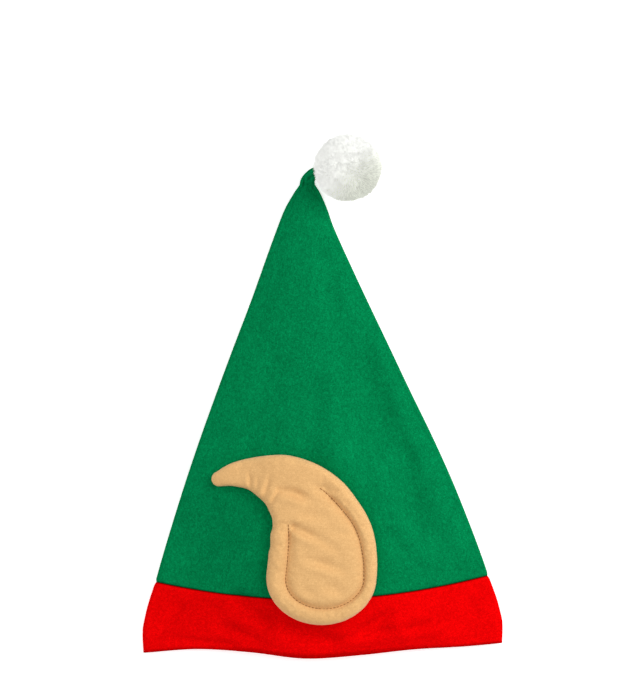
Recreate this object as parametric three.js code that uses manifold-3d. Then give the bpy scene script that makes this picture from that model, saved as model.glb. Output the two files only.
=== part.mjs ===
// A felt elf hat laid flat: a cone-shaped crown, a band sewn to its rim, two stuffed ears and a pompom.
// Millimetres, +Z up. It lies on its left ear, with its mouth towards -Y and its tip towards +Y.
import * as THREE from "three";
import { mergeVertices } from "three/addons/utils/BufferGeometryUtils.js";
import Module from "manifold-3d";

// Felt
const HEM_WIDTH = 300; // flat width across the band's free edge
const SEAM_WIDTH = 277; // flat width where the band is sewn to the crown
const BAND_HEIGHT = 66; // from the hem to the seam, at the side folds
const CROWN_LENGTH = 329; // from the seam to the neck of the tip, at the side folds
const NECK_WIDTH = 12.6; // the gathered neck, just under the pompom
const TIP_LEAN = 13; // how far the neck lies to the left of the hem's middle
const FELT = 2; // thickness of the felt
const FOLD_RADIUS = 3; // of the soft folds at both sides, to the middle of the felt
const PUFF = 22; // how far the two layers stand apart where the hat is fullest
const SEAM_BOW = 20.5; // how far the seam's middle lies below its ends
const HEM_WAVE = 10; // how far the hem's right corner lies above its middle
const HEM_SETBACK = 2; // how far the lower layer's hem lies behind the upper one's
const CLOSED_TIP = 23; // length below the neck where the gathered felt fills the inside

// Tip
const NUB_RADIUS = 4.9; // the gathered end of the tip
const NUB_BEND = 8.9; // radius of its bend towards the pompom
const NUB_TURN = 80; // degrees
const NUB_REACH = 5; // its straight end
const NUB_SINK = 6.8; // how deep that end sits in the pompom's pile
const NUB_HEIGHT = 15; // of its end above the table
const NUB_GATHERED = 0.6; // share of its length over which the neck's flat section turns round
const NUB_PLEATS = 5;
const PLEAT_DEPTH = 0.45;

// Ears
const EAR_LENGTH = 141.2; // from the lobe's bottom to the top of the curve
const EAR_REACH = 92; // from the lobe's middle to the pointed tip
const EAR_WIDTH = 92.4; // across the lobe
const EAR_THICKNESS = 12; // at the crest of the stuffed rim
const EAR_ABOVE_HEM = 26; // from the hem line to the lobe's bottom
const EAR_OFFSET = -1.3; // of the lobe's middle from the hem's middle
const STITCH_INSET_INNER = 15; // from the hollow side's edge to the line of stitches
const STITCH_INSET_OUTER = 10; // from the round side's edge to it
const STITCH_DEPTH = 5.5; // how deep the stitches pull the stuffing in
const PAD_HEIGHT = 9.5; // of the panel inside the stitches
const EAR_SEAM_SHARE = 0.3; // height of the seam round its edge, as a share of the thickness there

// Pompom
const POMPOM_RADIUS = 28; // to the ends of the locks
const LOCK_LENGTH = 6.5; // how far the locks stand out of the core
const LOCK_WIDTH = 13;
const LOCKS = 46;
const LOCK_SIDES = 5;

// How the felt is lifted by the ear under it
const LIFT_MARGIN = 6; // full height is kept this far beyond the ear's edge
const LIFT_SPREAD = 34; // and falls away over this length
const LIFT_BLEND = 18; // over which the ear's thinner and thicker stretches are evened out

// Small gaps between the sewn pieces
const SEAM_GAP = 0.3;
const EAR_GAP = 0.6;
const NUB_GAP = 0.35;

// Steps of the faceted surfaces
const PANEL_STEPS = 13; // across one layer of the felt
const FOLD_STEPS = 4; // around a side fold
const CROWN_STEPS = 21;
const BAND_STEPS = 5;
const NUB_STEPS = 7;
const SPINE_STEPS = 15; // along one side of an ear
const CAP_STEPS = 12; // around its lobe
const TIP_STEPS = 4; // around its pointed tip
const POCKET_SIDES = 12; // of the pocket that the nub has in the pompom

// Sections of the band, from the hem to the seam: how much of the flare is left, and how full it is.
const BAND_SECTIONS = [
  { at: 0.0, flare: 1.0, puff: 0.62 },
  { at: 0.31, flare: 1.04, puff: 0.74 },
  { at: 0.5, flare: 0.85, puff: 0.81 },
  { at: 0.7, flare: 0.56, puff: 0.86 },
  { at: 1.0, flare: 0.0, puff: 0.92 },
];

// Sections of the crown, from the seam to the neck: width, shift of the middle, and fullness.
const CROWN_SECTIONS = [
  { at: 0.0, width: 1.0, lean: 0.0, puff: 0.92 },
  { at: 0.054, width: 0.958, lean: 0.06, puff: 0.95 },
  { at: 0.131, width: 0.894, lean: 0.15, puff: 1.0 },
  { at: 0.246, width: 0.792, lean: 0.29, puff: 1.0 },
  { at: 0.36, width: 0.681, lean: 0.45, puff: 0.96 },
  { at: 0.475, width: 0.561, lean: 0.63, puff: 0.88 },
  { at: 0.59, width: 0.441, lean: 0.77, puff: 0.78 },
  { at: 0.704, width: 0.32, lean: 0.9, puff: 0.68 },
  { at: 0.819, width: 0.203, lean: 1.05, puff: 0.56 },
  { at: 0.896, width: 0.126, lean: 1.12, puff: 0.48 },
  { at: 0.939, width: 0.086, lean: 1.09, puff: 0.43 },
  { at: 0.98, width: 0.034, lean: 1.03, puff: 0.39 },
  { at: 1.0, width: 0.0, lean: 1.0, puff: 0.38 },
];

// The hem line of the upper layer, from the left fold to the right one.
const HEM_LINE = [
  { at: -1.0, rise: 0.17 },
  { at: -0.7, rise: 0.5 },
  { at: -0.4, rise: 0.25 },
  { at: -0.1, rise: -0.25 },
  { at: 0.2, rise: 0.02 },
  { at: 0.5, rise: 0.48 },
  { at: 0.8, rise: 0.73 },
  { at: 1.0, rise: 1.0 },
];

// Soft folds of the upper layer, as shares of the hem's half width and of the whole length.
const FOLD_WIDTH = 13;
const FOLD_DEPTH = 2.4;
const SOFT_FOLDS = [
  { across: 0.17, along: 0.62, endAcross: 0.33, endAlong: 0.4, width: 1.3, depth: -0.9 },
  { across: 0.45, along: 0.42, endAcross: 0.66, endAlong: 0.21, width: 1.2, depth: -0.9 },
  { across: 0.05, along: 0.52, endAcross: -0.02, endAlong: 0.42, width: 1.1, depth: 0.7 },
  { across: 0.46, along: 0.27, endAcross: 0.6, endAlong: 0.2, width: 0.6, depth: 0.8 },
  { across: -0.28, along: 0.6, endAcross: -0.42, endAlong: 0.42, width: 1.4, depth: -0.5 },
  { across: -0.62, along: 0.3, endAcross: -0.72, endAlong: 0.18, width: 1.2, depth: -0.6 },
  { across: -0.55, along: 0.12, endAcross: -0.25, endAlong: 0.06, width: 0.8, depth: -0.8 },
  { across: 0.32, along: 0.05, endAcross: 0.6, endAlong: 0.1, width: 0.9, depth: 0.7 },
  { across: 0.85, along: 0.13, endAcross: 0.8, endAlong: 0.05, width: 0.7, depth: -0.6 },
];

// Middle line of an ear, from the pointed tip to the lobe, with its half width and thickness.
const EAR_SECTIONS = [
  { across: -0.931, along: 0.857, half: 0.141, thick: 0.52 },
  { across: -0.803, along: 0.881, half: 0.217, thick: 0.6 },
  { across: -0.651, along: 0.887, half: 0.294, thick: 0.7 },
  { across: -0.514, along: 0.872, half: 0.404, thick: 0.8 },
  { across: -0.367, along: 0.839, half: 0.532, thick: 0.88 },
  { across: -0.225, along: 0.776, half: 0.66, thick: 0.95 },
  { across: -0.115, along: 0.696, half: 0.77, thick: 1.0 },
  { across: -0.041, along: 0.6, half: 0.862, thick: 1.0 },
  { across: 0.005, along: 0.493, half: 0.954, thick: 1.0 },
  { across: 0.014, along: 0.379, half: 0.991, thick: 1.0 },
  { across: 0.0, along: 0.278, half: 1.0, thick: 1.0 },
];
const SPINE_CLEAR = 0.9; // the most of an ear's half width that its rings take up
const STITCH_START_INNER = 0.66; // where the stitches start on the hollow side, along the middle line
const STITCH_START_OUTER = 0.45; // and on the round side
const STITCH_FADE = 0.2; // over which the channel deepens

// An ear's face from its edge inwards, in shares of the stitches' inset: the rim is full from its crest
// to the shoulder, and the pad inside the stitches is full at its rise.
const RIM_CREST = 0.36;
const RIM_SHOULDER = 0.55;
const PAD_RISE = 1.7;
const FACE_RINGS = [0.14, RIM_CREST, 0.6, 0.82, 1.0, 1.22, PAD_RISE];
const BACK_ROUNDING = 0.3; // width of the back's rounded edge, in the same shares

// One lock of the pompom: how far out it is, in lock lengths from the core's surface, and how wide.
const LOCK_PROFILE = [
  { out: -1.0, wide: 0.0 },
  { out: -0.66, wide: 0.84 },
  { out: 0.35, wide: 1.0 },
  { out: 0.85, wide: 0.52 },
  { out: 1.0, wide: 0.0 },
];
const LOCK_VARIATION = 0.02; // between the lengths of three locks in a row, as a share of the radius

const lerp = THREE.MathUtils.lerp;
const clamp = THREE.MathUtils.clamp;
const smoothstep = THREE.MathUtils.smoothstep;

// One row of a table at any share of its length, by a cubic through the rows' named columns.
function rowAt(rows, at) {
  let i = 0;
  while (i < rows.length - 2 && at > rows[i + 1].at) i++;
  const [a, b] = [rows[i], rows[i + 1]];
  const [before, after] = [rows[Math.max(i - 1, 0)], rows[Math.min(i + 2, rows.length - 1)]];
  const span = b.at - a.at;
  const t = clamp((at - a.at) / span, 0, 1);
  const row = {};
  for (const column of Object.keys(a)) {
    const startSlope = ((b[column] - before[column]) / (b.at - before.at)) * span;
    const endSlope = ((after[column] - a[column]) / (after.at - a.at)) * span;
    row[column] =
      a[column] * (2 * t ** 3 - 3 * t ** 2 + 1) +
      startSlope * (t ** 3 - 2 * t ** 2 + t) +
      b[column] * (3 * t ** 2 - 2 * t ** 3) +
      endSlope * (t ** 3 - t ** 2);
  }
  return row;
}

// Solid tools

// A closed surface through rings of equally many points. An open row of rings gets a cap at each end.
function loft(rings, closed = false) {
  const count = rings[0].length;
  const points = rings.flat();
  const faces = [];
  const join = (ringA, ringB) => {
    for (let i = 0; i < count; i++) {
      const next = (i + 1) % count;
      const [a, b] = [ringA * count + i, ringA * count + next];
      const [c, d] = [ringB * count + i, ringB * count + next];
      faces.push([a, b, d], [a, d, c]);
    }
  };
  for (let ring = 0; ring < rings.length - 1; ring++) join(ring, ring + 1);
  if (closed) join(rings.length - 1, 0);
  else
    for (const [ring, turned] of [[0, true], [rings.length - 1, false]]) {
      const middle = points.length;
      points.push(rings[ring].reduce((sum, p) => sum.add(p), new THREE.Vector3()).divideScalar(count));
      for (let i = 0; i < count; i++) {
        const [a, b] = [ring * count + i, ring * count + ((i + 1) % count)];
        faces.push(turned ? [b, a, middle] : [a, b, middle]);
      }
    }
  return surface(points, faces);
}

// A geometry from points and triangles, with its faces turned outwards.
function surface(points, faces) {
  const volume = faces.reduce((sum, [a, b, c]) => {
    return sum + points[a].dot(new THREE.Vector3().crossVectors(points[b], points[c]));
  }, 0);
  const index = faces.flatMap(([a, b, c]) => (volume < 0 ? [a, c, b] : [a, b, c]));
  const geometry = new THREE.BufferGeometry().setFromPoints(points);
  geometry.setIndex(index);
  return geometry;
}

const wasm = await Module();
wasm.setup();

function toSolid(geometry) {
  const bare = geometry.clone();
  bare.deleteAttribute("normal");
  bare.deleteAttribute("uv");
  const merged = mergeVertices(bare, 1e-4);
  return new wasm.Manifold(
    new wasm.Mesh({
      numProp: 3,
      vertProperties: merged.attributes.position.array,
      triVerts: new Uint32Array(merged.index.array),
    }),
  );
}

function toGeometry(solid) {
  const mesh = solid.getMesh();
  const geometry = new THREE.BufferGeometry();
  geometry.setAttribute("position", new THREE.BufferAttribute(mesh.vertProperties, 3));
  geometry.setIndex(new THREE.BufferAttribute(mesh.triVerts, 1));
  return geometry;
}

// Where the ears lie

// A point of an ear's middle line, in the hat's own plan, with its half width and thickness.
const earRows = EAR_SECTIONS.map((row, i) => ({ at: i / (EAR_SECTIONS.length - 1), ...row }));
function earSpine(at) {
  const row = rowAt(earRows, at);
  return {
    x: EAR_OFFSET + row.across * EAR_REACH,
    y: EAR_ABOVE_HEM + row.along * EAR_LENGTH,
    half: (row.half * EAR_WIDTH) / 2,
    thick: row.thick * EAR_THICKNESS,
  };
}

// How high the ear under the hat lifts the felt. It falls away softly beyond the ear's edge.
const liftSamples = Array.from({ length: 21 }, (_, i) => earSpine(i / 20));
function lift(x, y) {
  let nearest = Infinity;
  let height = 0;
  let weights = 0;
  for (const sample of liftSamples) {
    const radius = Math.min(sample.half, sample.y - EAR_ABOVE_HEM);
    const beyond = Math.hypot(x - sample.x, y - sample.y) - radius;
    const weight = Math.exp(-beyond / LIFT_BLEND);
    nearest = Math.min(nearest, beyond);
    height += weight * sample.thick;
    weights += weight;
  }
  const fall = Math.max(0, nearest - LIFT_MARGIN) / LIFT_SPREAD;
  return (height / weights) * Math.exp(-fall * fall);
}

// The felt shell

// A station runs from -1 at the hem through 0 at the seam to 1 at the neck.
function station(at) {
  const row = at < 0 ? rowAt(BAND_SECTIONS, at + 1) : rowAt(CROWN_SECTIONS, at);
  const half = at < 0
    ? (SEAM_WIDTH + row.flare * (HEM_WIDTH - SEAM_WIDTH)) / 2
    : (NECK_WIDTH + row.width * (SEAM_WIDTH - NECK_WIDTH)) / 2;
  return { half, middle: at < 0 ? 0 : -row.lean * TIP_LEAN, puff: row.puff * PUFF };
}

// How far along the hat a point lies, from its station and its share of the half width.
function alongAt(at, share, lower) {
  const bow = SEAM_BOW * (1 - share * share);
  if (at >= 0) return BAND_HEIGHT + CROWN_LENGTH * at - bow * (1 - at);
  const setback = lower ? HEM_SETBACK * (1 - share * share) : 0;
  const hem = HEM_WAVE * rowAt(HEM_LINE, share).rise + setback;
  return lerp(BAND_HEIGHT - bow, hem, -at);
}

// Height that the soft folds add to the upper layer.
function softFolds(x, y) {
  const whole = BAND_HEIGHT + CROWN_LENGTH;
  return SOFT_FOLDS.reduce((sum, fold) => {
    const from = new THREE.Vector2((fold.across * HEM_WIDTH) / 2, fold.along * whole);
    const to = new THREE.Vector2((fold.endAcross * HEM_WIDTH) / 2, fold.endAlong * whole);
    const run = to.clone().sub(from);
    const share = clamp(new THREE.Vector2(x, y).sub(from).dot(run) / run.lengthSq(), 0, 1);
    const distance = Math.hypot(x - lerp(from.x, to.x, share), y - lerp(from.y, to.y, share));
    return sum + fold.depth * FOLD_DEPTH * Math.exp(-((distance / (fold.width * FOLD_WIDTH)) ** 2));
  }, 0);
}

// Height of the upper layer's middle surface over the lower layer's, at a share of the half width.
function openingAt(at, share) {
  const { puff } = station(at);
  return 2 * FOLD_RADIUS + (puff - 2 * FOLD_RADIUS) * (1 - share * share);
}

// The middle surface of the felt as one loop: lower layer, right fold, upper layer, left fold.
function middleLoop(at) {
  const { half, middle } = station(at);
  const flat = half - FELT / 2 - FOLD_RADIUS;
  const loop = [];
  const place = (x, lower, raise) => {
    const y = alongAt(at, clamp(x / half, -1, 1), lower);
    loop.push(new THREE.Vector3(middle + x, y, raise(middle + x, y)));
  };
  const underside = (x, y) => lift(x, y) + FELT / 2;
  for (let i = 0; i <= PANEL_STEPS; i++)
    place(lerp(-flat, flat, i / PANEL_STEPS), true, underside);
  for (const side of [1, -1]) {
    for (let i = 1; i <= FOLD_STEPS; i++) {
      const angle = Math.PI * (i / (FOLD_STEPS + 1) - 0.5) * side;
      const height = FOLD_RADIUS * (1 + Math.sin(angle));
      place(side * (flat + FOLD_RADIUS * Math.cos(angle)), angle < 0, (x, y) => {
        return lift(middle + side * flat, y) + FELT / 2 + height;
      });
    }
    if (side < 0) break;
    for (let i = 0; i <= PANEL_STEPS; i++) {
      const share = lerp(1, -1, i / PANEL_STEPS);
      place(share * flat, false, (x, y) => {
        return underside(x, y) + openingAt(at, share) + softFolds(x, y) * Math.sqrt(1 - share * share);
      });
    }
  }
  return loop;
}

// The loop moved sideways by a distance, outwards if it is positive.
function offsetLoop(loop, distance) {
  return loop.map((point, i) => {
    const before = loop[(i + loop.length - 1) % loop.length];
    const after = loop[(i + 1) % loop.length];
    const into = new THREE.Vector2(point.x - before.x, point.z - before.z).normalize();
    const out = new THREE.Vector2(after.x - point.x, after.z - point.z).normalize();
    const tangent = into.add(out).normalize();
    return new THREE.Vector3(point.x + tangent.y * distance, point.y, point.z - tangent.x * distance);
  });
}

function feltRing(at, distance) {
  return offsetLoop(middleLoop(at), distance);
}

// Stations that share a stretch evenly.
function stations(from, to, steps) {
  return Array.from({ length: steps + 1 }, (_, i) => lerp(from, to, i / steps));
}

// The gathered end of the tip

const neckHeight = FELT / 2 + station(1).puff / 2;
const neck = new THREE.Vector3(-TIP_LEAN, BAND_HEIGHT + CROWN_LENGTH, neckHeight);
const bendLength = THREE.MathUtils.degToRad(NUB_TURN) * NUB_BEND;
const nubLength = bendLength + NUB_REACH;

// A point of the nub's middle line, and the way it runs there, seen from above.
function nubPath(share) {
  const run = share * nubLength;
  const turn = Math.min(run, bendLength) / NUB_BEND;
  const straight = Math.max(0, run - bendLength);
  const heading = new THREE.Vector3(Math.sin(turn), Math.cos(turn), 0);
  const point = new THREE.Vector3(
    neck.x + NUB_BEND * (1 - Math.cos(turn)),
    neck.y + NUB_BEND * Math.sin(turn),
    lerp(neck.z, NUB_HEIGHT, smoothstep(share, 0, 1)),
  ).addScaledVector(heading, straight);
  return { point, heading };
}

// The same with the directions across the nub: sideways, and up square to its slope.
function nubFrame(share) {
  const { point, heading } = nubPath(share);
  const across = new THREE.Vector3(heading.y, -heading.x, 0);
  const ahead = nubPath(Math.min(1, share + 0.01)).point;
  const behind = nubPath(Math.max(0, share - 0.01)).point;
  const up = new THREE.Vector3().crossVectors(across, ahead.sub(behind).normalize());
  return { point, heading, across, up };
}

// A ring across the nub. It changes from the neck's section to a pleated round one.
function nubRing(share, section) {
  const { point, across, up } = nubFrame(share);
  const gathered = smoothstep(share, 0, NUB_GATHERED);
  return section.map(({ x, z }) => {
    const angle = Math.atan2(z, x);
    const radius = NUB_RADIUS + PLEAT_DEPTH * Math.cos(NUB_PLEATS * angle);
    return point
      .clone()
      .addScaledVector(across, lerp(x, radius * Math.cos(angle), gathered))
      .addScaledVector(up, lerp(z, radius * Math.sin(angle), gathered));
  });
}

// A closed tube round the nub, wider than it by the gap, to clear its pocket with.
function nubPocket() {
  const radius = (NUB_RADIUS + PLEAT_DEPTH + NUB_GAP) / Math.cos(Math.PI / POCKET_SIDES);
  const rings = stations(0, 1, NUB_STEPS).map((share) => {
    const { point, heading, across, up } = nubFrame(share);
    const ahead = share === 1 ? NUB_GAP : 0;
    return Array.from({ length: POCKET_SIDES }, (_, i) => {
      const angle = (2 * Math.PI * i) / POCKET_SIDES;
      return point
        .clone()
        .addScaledVector(heading, ahead)
        .addScaledVector(across, radius * Math.cos(angle))
        .addScaledVector(up, radius * Math.sin(angle));
    });
  });
  return loft(rings);
}

function crownGeometry() {
  const seamShift = SEAM_GAP / 2 / CROWN_LENGTH;
  const outer = stations(0, 1, CROWN_STEPS).map((at) => feltRing(Math.max(at, seamShift), FELT / 2));
  const hollowEnd = 1 - CLOSED_TIP / CROWN_LENGTH;
  const inner = stations(0, hollowEnd, CROWN_STEPS - 1).map((at) => {
    return feltRing(Math.max(at, seamShift), -FELT / 2);
  });
  const section = outer.at(-1).map((p) => ({ x: p.x - neck.x, z: p.z - neck.z }));
  const nub = stations(0, 1, NUB_STEPS).slice(1).map((share) => nubRing(share, section));
  return loft([...inner.reverse(), ...outer, ...nub]);
}

function bandGeometry() {
  const seamShift = SEAM_GAP / 2 / BAND_HEIGHT;
  const levels = stations(-1, 0, BAND_STEPS).map((at) => Math.min(at, -seamShift));
  const outer = levels.map((at) => feltRing(at, FELT / 2));
  const inner = levels.map((at) => feltRing(at, -FELT / 2));
  return loft([...outer, ...inner.reverse()], true);
}

// Ears

// Points round an ear's outline, each with the point of the middle line that it faces, how strong the
// stitched channel is there, and the channel's inset.
function earOutline() {
  const outline = [];
  const add = (place, spine, at, inner, share) => {
    const start = inner ? STITCH_START_INNER : STITCH_START_OUTER;
    outline.push({
      edge: place,
      facing: new THREE.Vector2(spine.x, spine.y),
      thick: spine.thick,
      channel: smoothstep(at, start, start + STITCH_FADE),
      inset: lerp(STITCH_INSET_INNER, STITCH_INSET_OUTER, share),
    });
  };
  const normalAt = (at) => {
    const [a, b] = [earSpine(Math.max(0, at - 0.01)), earSpine(Math.min(1, at + 0.01))];
    return new THREE.Vector2(b.y - a.y, a.x - b.x).normalize();
  };
  // Down the hollow side, from the pointed tip to the lobe.
  for (let i = 0; i < SPINE_STEPS; i++) {
    const at = i / SPINE_STEPS;
    const spine = earSpine(at);
    const edge = new THREE.Vector2(spine.x, spine.y).addScaledVector(normalAt(at), spine.half);
    add(edge, spine, at, true, 0);
  }
  // Round the lobe.
  const lobe = earSpine(1);
  for (let i = 0; i <= CAP_STEPS; i++) {
    const angle = Math.PI * (1 + i / CAP_STEPS);
    const edge = new THREE.Vector2(
      lobe.x + lobe.half * Math.cos(angle),
      lobe.y + (lobe.y - EAR_ABOVE_HEM) * Math.sin(angle),
    );
    add(edge, lobe, 1, i < CAP_STEPS / 2, i / CAP_STEPS);
  }
  // Up the round side, back to the tip, and round it.
  for (let i = SPINE_STEPS - 1; i >= 0; i--) {
    const at = i / SPINE_STEPS;
    const spine = earSpine(at);
    const edge = new THREE.Vector2(spine.x, spine.y).addScaledVector(normalAt(at), -spine.half);
    add(edge, spine, at, false, 1);
  }
  const tip = earSpine(0);
  const start = Math.atan2(-normalAt(0).y, -normalAt(0).x);
  for (let i = 1; i < TIP_STEPS; i++) {
    const angle = start + (Math.PI * i) / TIP_STEPS;
    const edge = new THREE.Vector2(tip.x + tip.half * Math.cos(angle), tip.y + tip.half * Math.sin(angle));
    add(edge, tip, 0, false, 1 - i / TIP_STEPS);
  }
  return outline;
}

// Height of an ear's face over its flat back, at a distance from the edge in insets.
function faceHeight(inset, spot) {
  const seam = EAR_SEAM_SHARE * spot.thick;
  const valley = spot.thick - STITCH_DEPTH * spot.channel;
  const pad = lerp(spot.thick, PAD_HEIGHT, spot.channel);
  if (inset < RIM_CREST) return seam + (spot.thick - seam) * Math.sqrt(1 - (1 - inset / RIM_CREST) ** 2);
  if (inset < 1) return lerp(spot.thick, valley, smoothstep(inset, RIM_SHOULDER, 1));
  return lerp(valley, pad, smoothstep(inset, 1, PAD_RISE));
}

// Height of its back at the same distance: flat, with a rounded edge.
function backHeight(inset, spot) {
  const turn = 1 - Math.min(inset / BACK_ROUNDING, 1);
  return EAR_SEAM_SHARE * spot.thick * (1 - Math.sqrt(1 - turn ** 2));
}

// One ear. place turns a point of the plan and a height over the ear's back into a point of the hat.
// Near the pointed tip the rings crowd together, so that the innermost stays off the middle line.
function earGeometry(place) {
  const outline = earOutline();
  const lobePad = earSpine(STITCH_START_INNER).y;
  const ring = (inset, height) => {
    return outline.map((spot) => {
      const reach = spot.edge.distanceTo(spot.facing);
      const step = Math.min(spot.inset, (SPINE_CLEAR * reach) / PAD_RISE);
      const at = spot.edge.clone().lerp(spot.facing, (inset * step) / reach);
      return place(at.x, at.y, height(inset, spot));
    });
  };
  const middleLine = (height) => outline.map((spot) => place(spot.facing.x, spot.facing.y, height(spot)));
  return weld([
    middleLine(() => 0),
    ring(BACK_ROUNDING, backHeight),
    ring(0, backHeight),
    ...FACE_RINGS.map((inset) => ring(inset, faceHeight)),
    middleLine((spot) => {
      const open = smoothstep(spot.facing.y, lobePad, lobePad + STITCH_FADE * EAR_LENGTH);
      return lerp(PAD_HEIGHT, spot.thick, open);
    }),
  ]);
}

// A closed surface through rings whose first and last are folded flat on the middle line. Points that
// coincide there become one, and the faces that this leaves empty are dropped.
function weld(rings) {
  const count = rings[0].length;
  const points = [];
  const numbers = new Map();
  const number = (p) => {
    const key = [p.x, p.y, p.z].map((value) => value.toFixed(3)).join();
    if (!numbers.has(key)) {
      numbers.set(key, points.length);
      points.push(p);
    }
    return numbers.get(key);
  };
  const ids = rings.map((ring) => ring.map(number));
  const faces = [];
  for (let ring = 0; ring < rings.length - 1; ring++)
    for (let i = 0; i < count; i++) {
      const next = (i + 1) % count;
      const [a, b] = [ids[ring][i], ids[ring][next]];
      const [c, d] = [ids[ring + 1][i], ids[ring + 1][next]];
      for (const face of [[a, b, d], [a, d, c]])
        if (new Set(face).size === 3) faces.push(face);
    }
  return surface(points, faces);
}

// The outer surface of the upper layer, which carries the right ear.
function upperSurface(x, y) {
  const at = (y - BAND_HEIGHT) / CROWN_LENGTH;
  let best = clamp(at, -1, 1);
  for (let i = 0; i < 12; i++) {
    const { half, middle } = station(best);
    const error = alongAt(best, clamp((x - middle) / half, -1, 1), false) - y;
    best = clamp(best - error / (best < 0 ? BAND_HEIGHT : CROWN_LENGTH), -1, 1);
  }
  const { half, middle } = station(best);
  const flat = half - FELT / 2 - FOLD_RADIUS;
  const share = clamp((x - middle) / flat, -1, 1);
  return lift(x, y) + FELT + openingAt(best, share) + softFolds(x, y) * Math.sqrt(1 - share * share);
}

function rightEar() {
  return earGeometry((x, y, height) => new THREE.Vector3(x, y, upperSurface(x, y) + EAR_GAP + height));
}

// The left ear lies under the hat, face down, and its rim is pressed flat on the table.
function leftEar() {
  return earGeometry((x, y, height) => {
    return new THREE.Vector3(x, y, Math.max(0, lift(x, y) - EAR_GAP - height));
  });
}

// Pompom

// A round core with short thick locks, evenly spread over it, and a pocket for the nub.
function pompomSolid() {
  const core = POMPOM_RADIUS - LOCK_LENGTH;
  const golden = Math.PI * (3 - Math.sqrt(5));
  let solid = toSolid(new THREE.IcosahedronGeometry(core, 2));
  for (let i = 0; i < LOCKS; i++) {
    const height = 1 - (2 * i + 1) / LOCKS;
    const flat = Math.sqrt(1 - height * height);
    const way = new THREE.Vector3(flat * Math.cos(golden * i), flat * Math.sin(golden * i), height);
    const length = LOCK_LENGTH - LOCK_VARIATION * POMPOM_RADIUS * (i % 3);
    const profile = LOCK_PROFILE.map(({ out, wide }) => {
      return new THREE.Vector2((wide * LOCK_WIDTH) / 2, core + out * length);
    });
    const lock = new THREE.LatheGeometry(profile, LOCK_SIDES);
    lock.applyQuaternion(new THREE.Quaternion().setFromUnitVectors(new THREE.Vector3(0, 1, 0), way));
    solid = solid.add(toSolid(lock));
  }
  const nubEnd = nubPath(1);
  const middle = nubEnd.point.clone().addScaledVector(nubEnd.heading, POMPOM_RADIUS - NUB_SINK);
  const lowest = solid.boundingBox().min[2];
  return solid.translate([middle.x, middle.y, -lowest]).subtract(toSolid(nubPocket()));
}

// Assembly

function felt(colour, roughness) {
  return new THREE.MeshStandardMaterial({ color: colour, roughness, metalness: 0, flatShading: true });
}

function piece(name, geometry, material) {
  const mesh = new THREE.Mesh(geometry, material);
  mesh.name = name;
  return mesh;
}

const skinCloth = felt("#e5b277", 0.85);
const pieces = [
  piece("crown", crownGeometry(), felt("#027e4b", 0.95)),
  piece("band", bandGeometry(), felt("#e60306", 0.95)),
  piece("ear_right", rightEar(), skinCloth),
  piece("ear_left", leftEar(), skinCloth.clone()),
  piece("pompom", toGeometry(pompomSolid()), felt("#f2f2ee", 1)),
];

// The origin is the middle of the whole hat's box, on the table.
const hat = new THREE.Group();
const inner = new THREE.Group();
inner.add(...pieces);
hat.add(inner);
const box = new THREE.Box3().setFromObject(inner);
const middle = box.getCenter(new THREE.Vector3());
inner.position.set(-middle.x, -middle.y, -box.min.z);

export default hat;
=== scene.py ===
"""The looks of a felt elf hat that lies flat: brushed felt, two stuffed velour ears and a yarn pompom.

Everything is in metres, +Z up. The hat's mouth points to -Y and its tip to +Y, and it lies on its left ear.
The hat is modelled in its own plan, with the hem line at y = 0, and then moved to where the frame has it.
Each class holds the sizes of one sub-assembly, builds its meshes and dresses them.
"""

import logging
import math
from dataclasses import dataclass, field
from enum import Enum
from typing import Any, Callable, Sequence

import bmesh
import bpy
import numpy as np
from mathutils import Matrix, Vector
from mathutils.bvhtree import BVHTree

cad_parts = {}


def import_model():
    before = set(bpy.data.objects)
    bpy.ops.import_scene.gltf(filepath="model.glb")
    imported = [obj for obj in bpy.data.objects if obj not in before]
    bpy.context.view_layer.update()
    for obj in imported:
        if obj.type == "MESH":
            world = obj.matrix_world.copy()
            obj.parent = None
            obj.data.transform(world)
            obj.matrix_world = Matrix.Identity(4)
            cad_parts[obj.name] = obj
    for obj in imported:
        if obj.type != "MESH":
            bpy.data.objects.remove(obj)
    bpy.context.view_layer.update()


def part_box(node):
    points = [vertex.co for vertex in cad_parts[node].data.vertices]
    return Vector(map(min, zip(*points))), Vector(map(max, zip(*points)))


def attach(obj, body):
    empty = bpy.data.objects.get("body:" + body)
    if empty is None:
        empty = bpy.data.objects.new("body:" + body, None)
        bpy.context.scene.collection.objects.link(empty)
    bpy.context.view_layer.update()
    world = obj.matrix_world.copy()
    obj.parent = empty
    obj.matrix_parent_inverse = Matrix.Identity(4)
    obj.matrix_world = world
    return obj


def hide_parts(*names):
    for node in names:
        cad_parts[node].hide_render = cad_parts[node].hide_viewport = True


MM = 0.001
BODY = "root"
PHOTO_WIDTH = 640
PHOTO_HEIGHT = 700
PHOTO_SCALE = 0.838 * MM  # size of one of the photo's pixels on the hat
PHOTO_HEM_ROW = 655.6  # the photo's row that shows the hem line
PHOTO_HEM_COLUMN = 322.8  # and its column that shows the hem's middle
HEM_SAMPLES = 201  # places of the hem among which its lowest is looked for

PAINTED_EDGE_SHADE = "edge"  # the attribute of painted shade, which is 1 along seams and cut edges
TONE = "tone"  # the attribute that holds each strand's own tone
MERGE = 0.004 * MM  # corners closer together than this become one
SLIVER = 0.002 * MM  # edges shorter than this, and faces without area, go
NEARBY = 0.01  # the step, as a share of a line, over which its direction is taken
WAVE_PERIOD = math.tau / 20  # of the band texture at scale 1
TINY = 1e-9  # keeps a length that is divided by off zero

log = logging.getLogger("elf_hat")


def smooth(value: np.ndarray | float, low: float, high: float) -> np.ndarray:
    """Returns 0 at or below low, 1 at or above high, and a smooth curve between them."""
    share = np.clip((np.asarray(value, float) - low) / (high - low), 0, 1)
    return share * share * (3 - 2 * share)


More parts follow.
